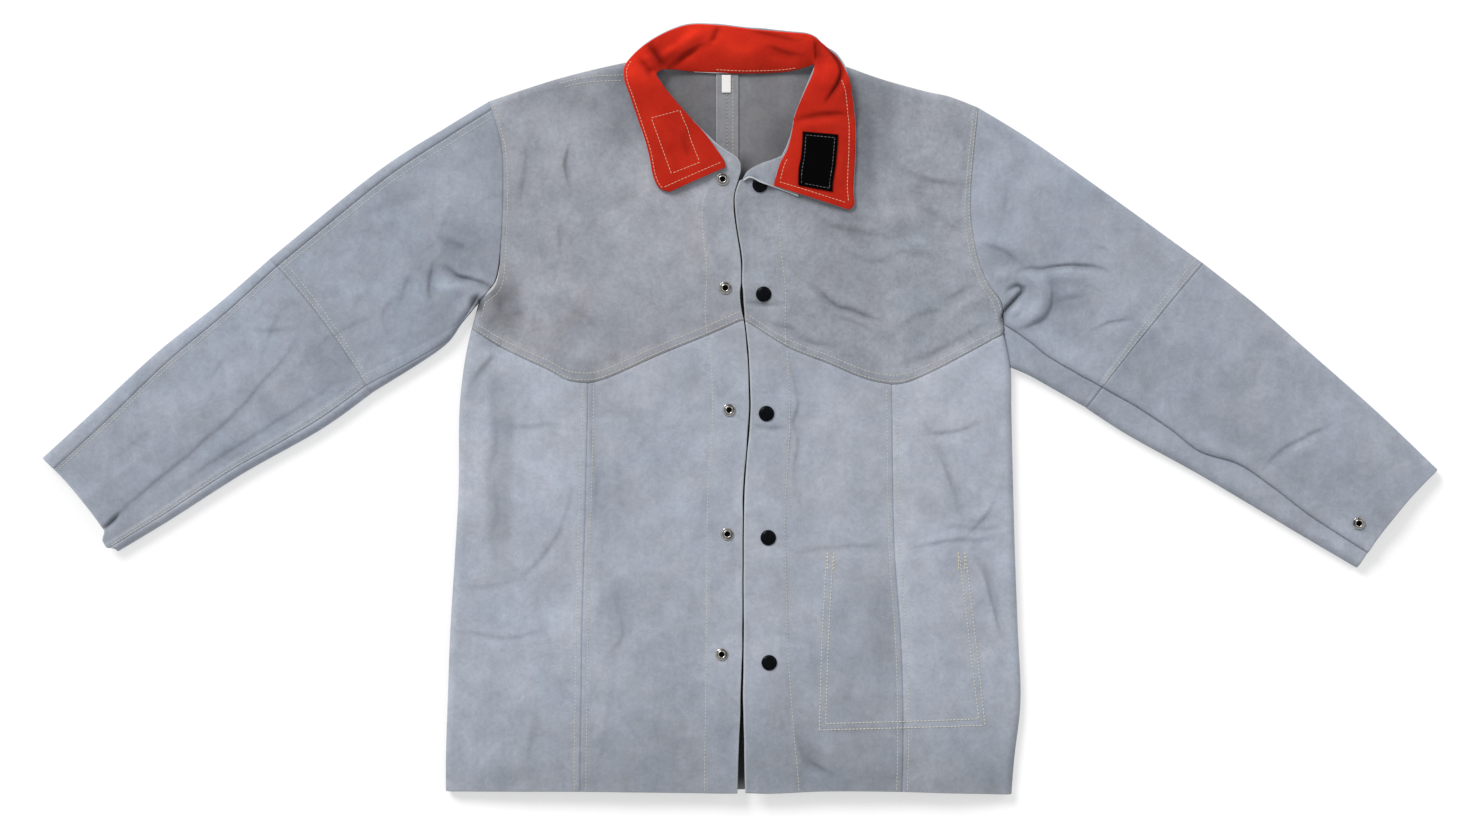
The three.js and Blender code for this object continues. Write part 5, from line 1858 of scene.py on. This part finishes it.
def placket_rows():
    lines = [plan_line(row) for row in SHOULDER_ROWS]
    for side, way in (("right", -1), ("left", 1)):
        for y in CROSS_ROWS[side]:
            start = torso_x(side, "Edge", y) + CROSS_ROW_INSET * way
            lines.append(plan_line(((start, y), (start + (PLACKET[side][-1] - CROSS_ROW_SHORT) * way, y))))
    return lines + plan_loop(TAB_RECTANGLE)


def collar_plan_line(start, end):
    place = straight(start, end)(np.linspace(0, 1, LOOP_STEPS))
    return facing_surface(COTTON_STITCH_RISE)(*collar_place(place))


def collar_rows():
    """Rows along the leaves of the collar, at their front ends and along the neck, and the loop's square"""
    surface = facing_surface(COTTON_STITCH_RISE)
    t = np.linspace(0, 1, COLLAR_STEPS)
    width = np.linalg.norm(COLLAR_OUTER - COLLAR_NECK, axis=1)
    station = np.arange(len(width))
    lines = []
    for side, front_end in (("right", 0), ("left", 1)):
        first, last = LEAF_ROWS[side]
        place = first + (last - first) * t
        outer = 1 - OUTER_ROW[side] / np.interp(place, station, width)
        lines.append(surface(place / LAST_STATION, outer))
        end = np.full_like(t, LEAF_ROWS[side][front_end] / LAST_STATION)
        lines.append(surface(end, NECK_ROW_SHARE + (outer[-front_end] - NECK_ROW_SHARE) * t))
    for first, last in NECK_ROWS:
        lines.append(surface((first + (last - first) * t) / LAST_STATION, np.full_like(t, NECK_ROW_SHARE)))
    corners = LOOP_SQUARE + LOOP_SQUARE[:1]
    return lines + [collar_plan_line(*ends) for ends in zip(corners, corners[1:])]


def patch_rows():
    surface = facing_surface(LAYER_GAP + TAPE + COTTON_STITCH_RISE)
    u, v = PATCH_INSET["u"], PATCH_INSET["v"]
    corners = ((u, v), (1 - u, v), (1 - u, 1 - v), (u, 1 - v), (u, v))
    t = np.linspace(0, 1, PATCH_STEPS)
    return [surface(*on_patch(*straight(*ends)(t).T)) for ends in zip(corners, corners[1:])]


def tack_rows():
    """Short upright rows at the two upper corners of the pocket"""
    lines = []
    for (x, y), way in ((POCKET_LEFT[-1], 1), (POCKET_RIGHT[-1], -1)):
        for spacing in TACK_SPACING:
            top = (x + way * spacing, y + TACK_ABOVE)
            lines.append(plan_line((top, (top[0], top[1] - TACK_LENGTH))))
    return lines


def tape_rows():
    y = np.linspace(BACK_HEM_Y + TAPE_ROW_INSET, BACK_NECK_Y - TAPE_ROW_INSET, LINE_STEPS)
    rise = LEATHER / 2 + LAYER_GAP + TAPE + TAPE_STITCH_RISE
    lines = []
    for offset in TAPE_ROWS:
        x = np.full_like(y, BACK_SEAM_X + offset)
        lines.append(np.column_stack([x, y, back_height(x, y) + rise]))
    return lines


body_lines = [line for side in SIDES for line in body_rows(side)]
sleeve_lines = [line for side in SIDES for line in sleeve_rows(side)]
add_stitches("stitches_body", body_lines + tape_rows(), BEIGE)
add_stitches("stitches_sleeves", sleeve_lines, BEIGE)
add_stitches("stitches_pocket", pocket_rows(), BEIGE, "heavy")
add_stitches("stitches_placket", placket_rows(), BEIGE)
add_stitches("stitches_tacks", tack_rows(), YELLOW, "heavy")
add_stitches("stitches_collar", collar_rows(), CREAM, "fine")
add_stitches("stitches_patch", patch_rows(), ASH, "fine")


# Floor, light and camera

FLOOR_HALF = 40.0
FLOOR_DROP = 0.0005
FLOOR_GLOW = 0.5
FLOOR_NOISE = (3.0, 2.0, 0.5)
FLOOR_COLOURS = ((0.52, 0.52, 0.52, 1), (0.54, 0.54, 0.54, 1))
FLOOR_ROUGHNESS = 0.9
PLAIN_WHITE = (1, 1, 1, 1)
WORLD_LIGHT = 0.50
# Strength of each sun, and its spread, tilt and heading in degrees
SUNS = {"key": (2.4, 25, -50, 38), "fill": (0.4, 30, -50, -50)}
PHOTO_WIDTH = 1480
MM_PER_PIXEL = 1.1
VIEW_LEVEL = 0.010
LENS = 85.0
SENSOR = 36.0


def add_floor():
    """Pale floor that glows a little, like a light table, so that shadows on it are faint"""
    material, tree, shader = new_shader("pale floor")
    feed(tree, shader, {
        "Base Color": blend(tree, noise(tree, *FLOOR_NOISE), *FLOOR_COLOURS),
        "Roughness": FLOOR_ROUGHNESS,
        "Specular IOR Level": 0.0,
        "Emission Color": PLAIN_WHITE,
        "Emission Strength": FLOOR_GLOW,
    })
    mesh = bpy.data.meshes.new("floor")
    corners = [(x * FLOOR_HALF, y * FLOOR_HALF, 0) for x, y in ((-1, -1), (1, -1), (1, 1), (-1, 1))]
    mesh.from_pydata(corners, [], [(0, 1, 2, 3)])
    mesh.materials.append(material)
    floor = bpy.data.objects.new("floor", mesh)
    floor.location.z = -FLOOR_DROP
    bpy.context.scene.collection.objects.link(floor)


def add_sun(name, strength, spread_angle, tilt, heading):
    light = bpy.data.lights.new(name, "SUN")
    light.energy = strength
    light.angle = np.radians(spread_angle)
    sun = bpy.data.objects.new(name, light)
    sun.rotation_euler = (np.radians(tilt), 0, np.radians(heading))
    bpy.context.scene.collection.objects.link(sun)


def set_world():
    world = bpy.data.worlds.new("studio")
    world.use_nodes = True
    background = world.node_tree.nodes["Background"]
    background.inputs["Color"].default_value = PLAIN_WHITE
    background.inputs["Strength"].default_value = WORLD_LIGHT
    bpy.context.scene.world = world


def add_camera():
    camera = bpy.data.cameras.new("camera")
    camera.lens = LENS
    camera.sensor_width = SENSOR
    eye = bpy.data.objects.new("camera", camera)
    width = PHOTO_WIDTH * MM_PER_PIXEL * METRES
    eye.location = (0, 0, VIEW_LEVEL + width * LENS / SENSOR)
    bpy.context.scene.collection.objects.link(eye)
    bpy.context.scene.camera = eye


add_floor()
set_world()
for name, settings in SUNS.items():
    add_sun(name, *settings)
add_camera()
bpy.context.scene.view_settings.view_transform = "Standard"
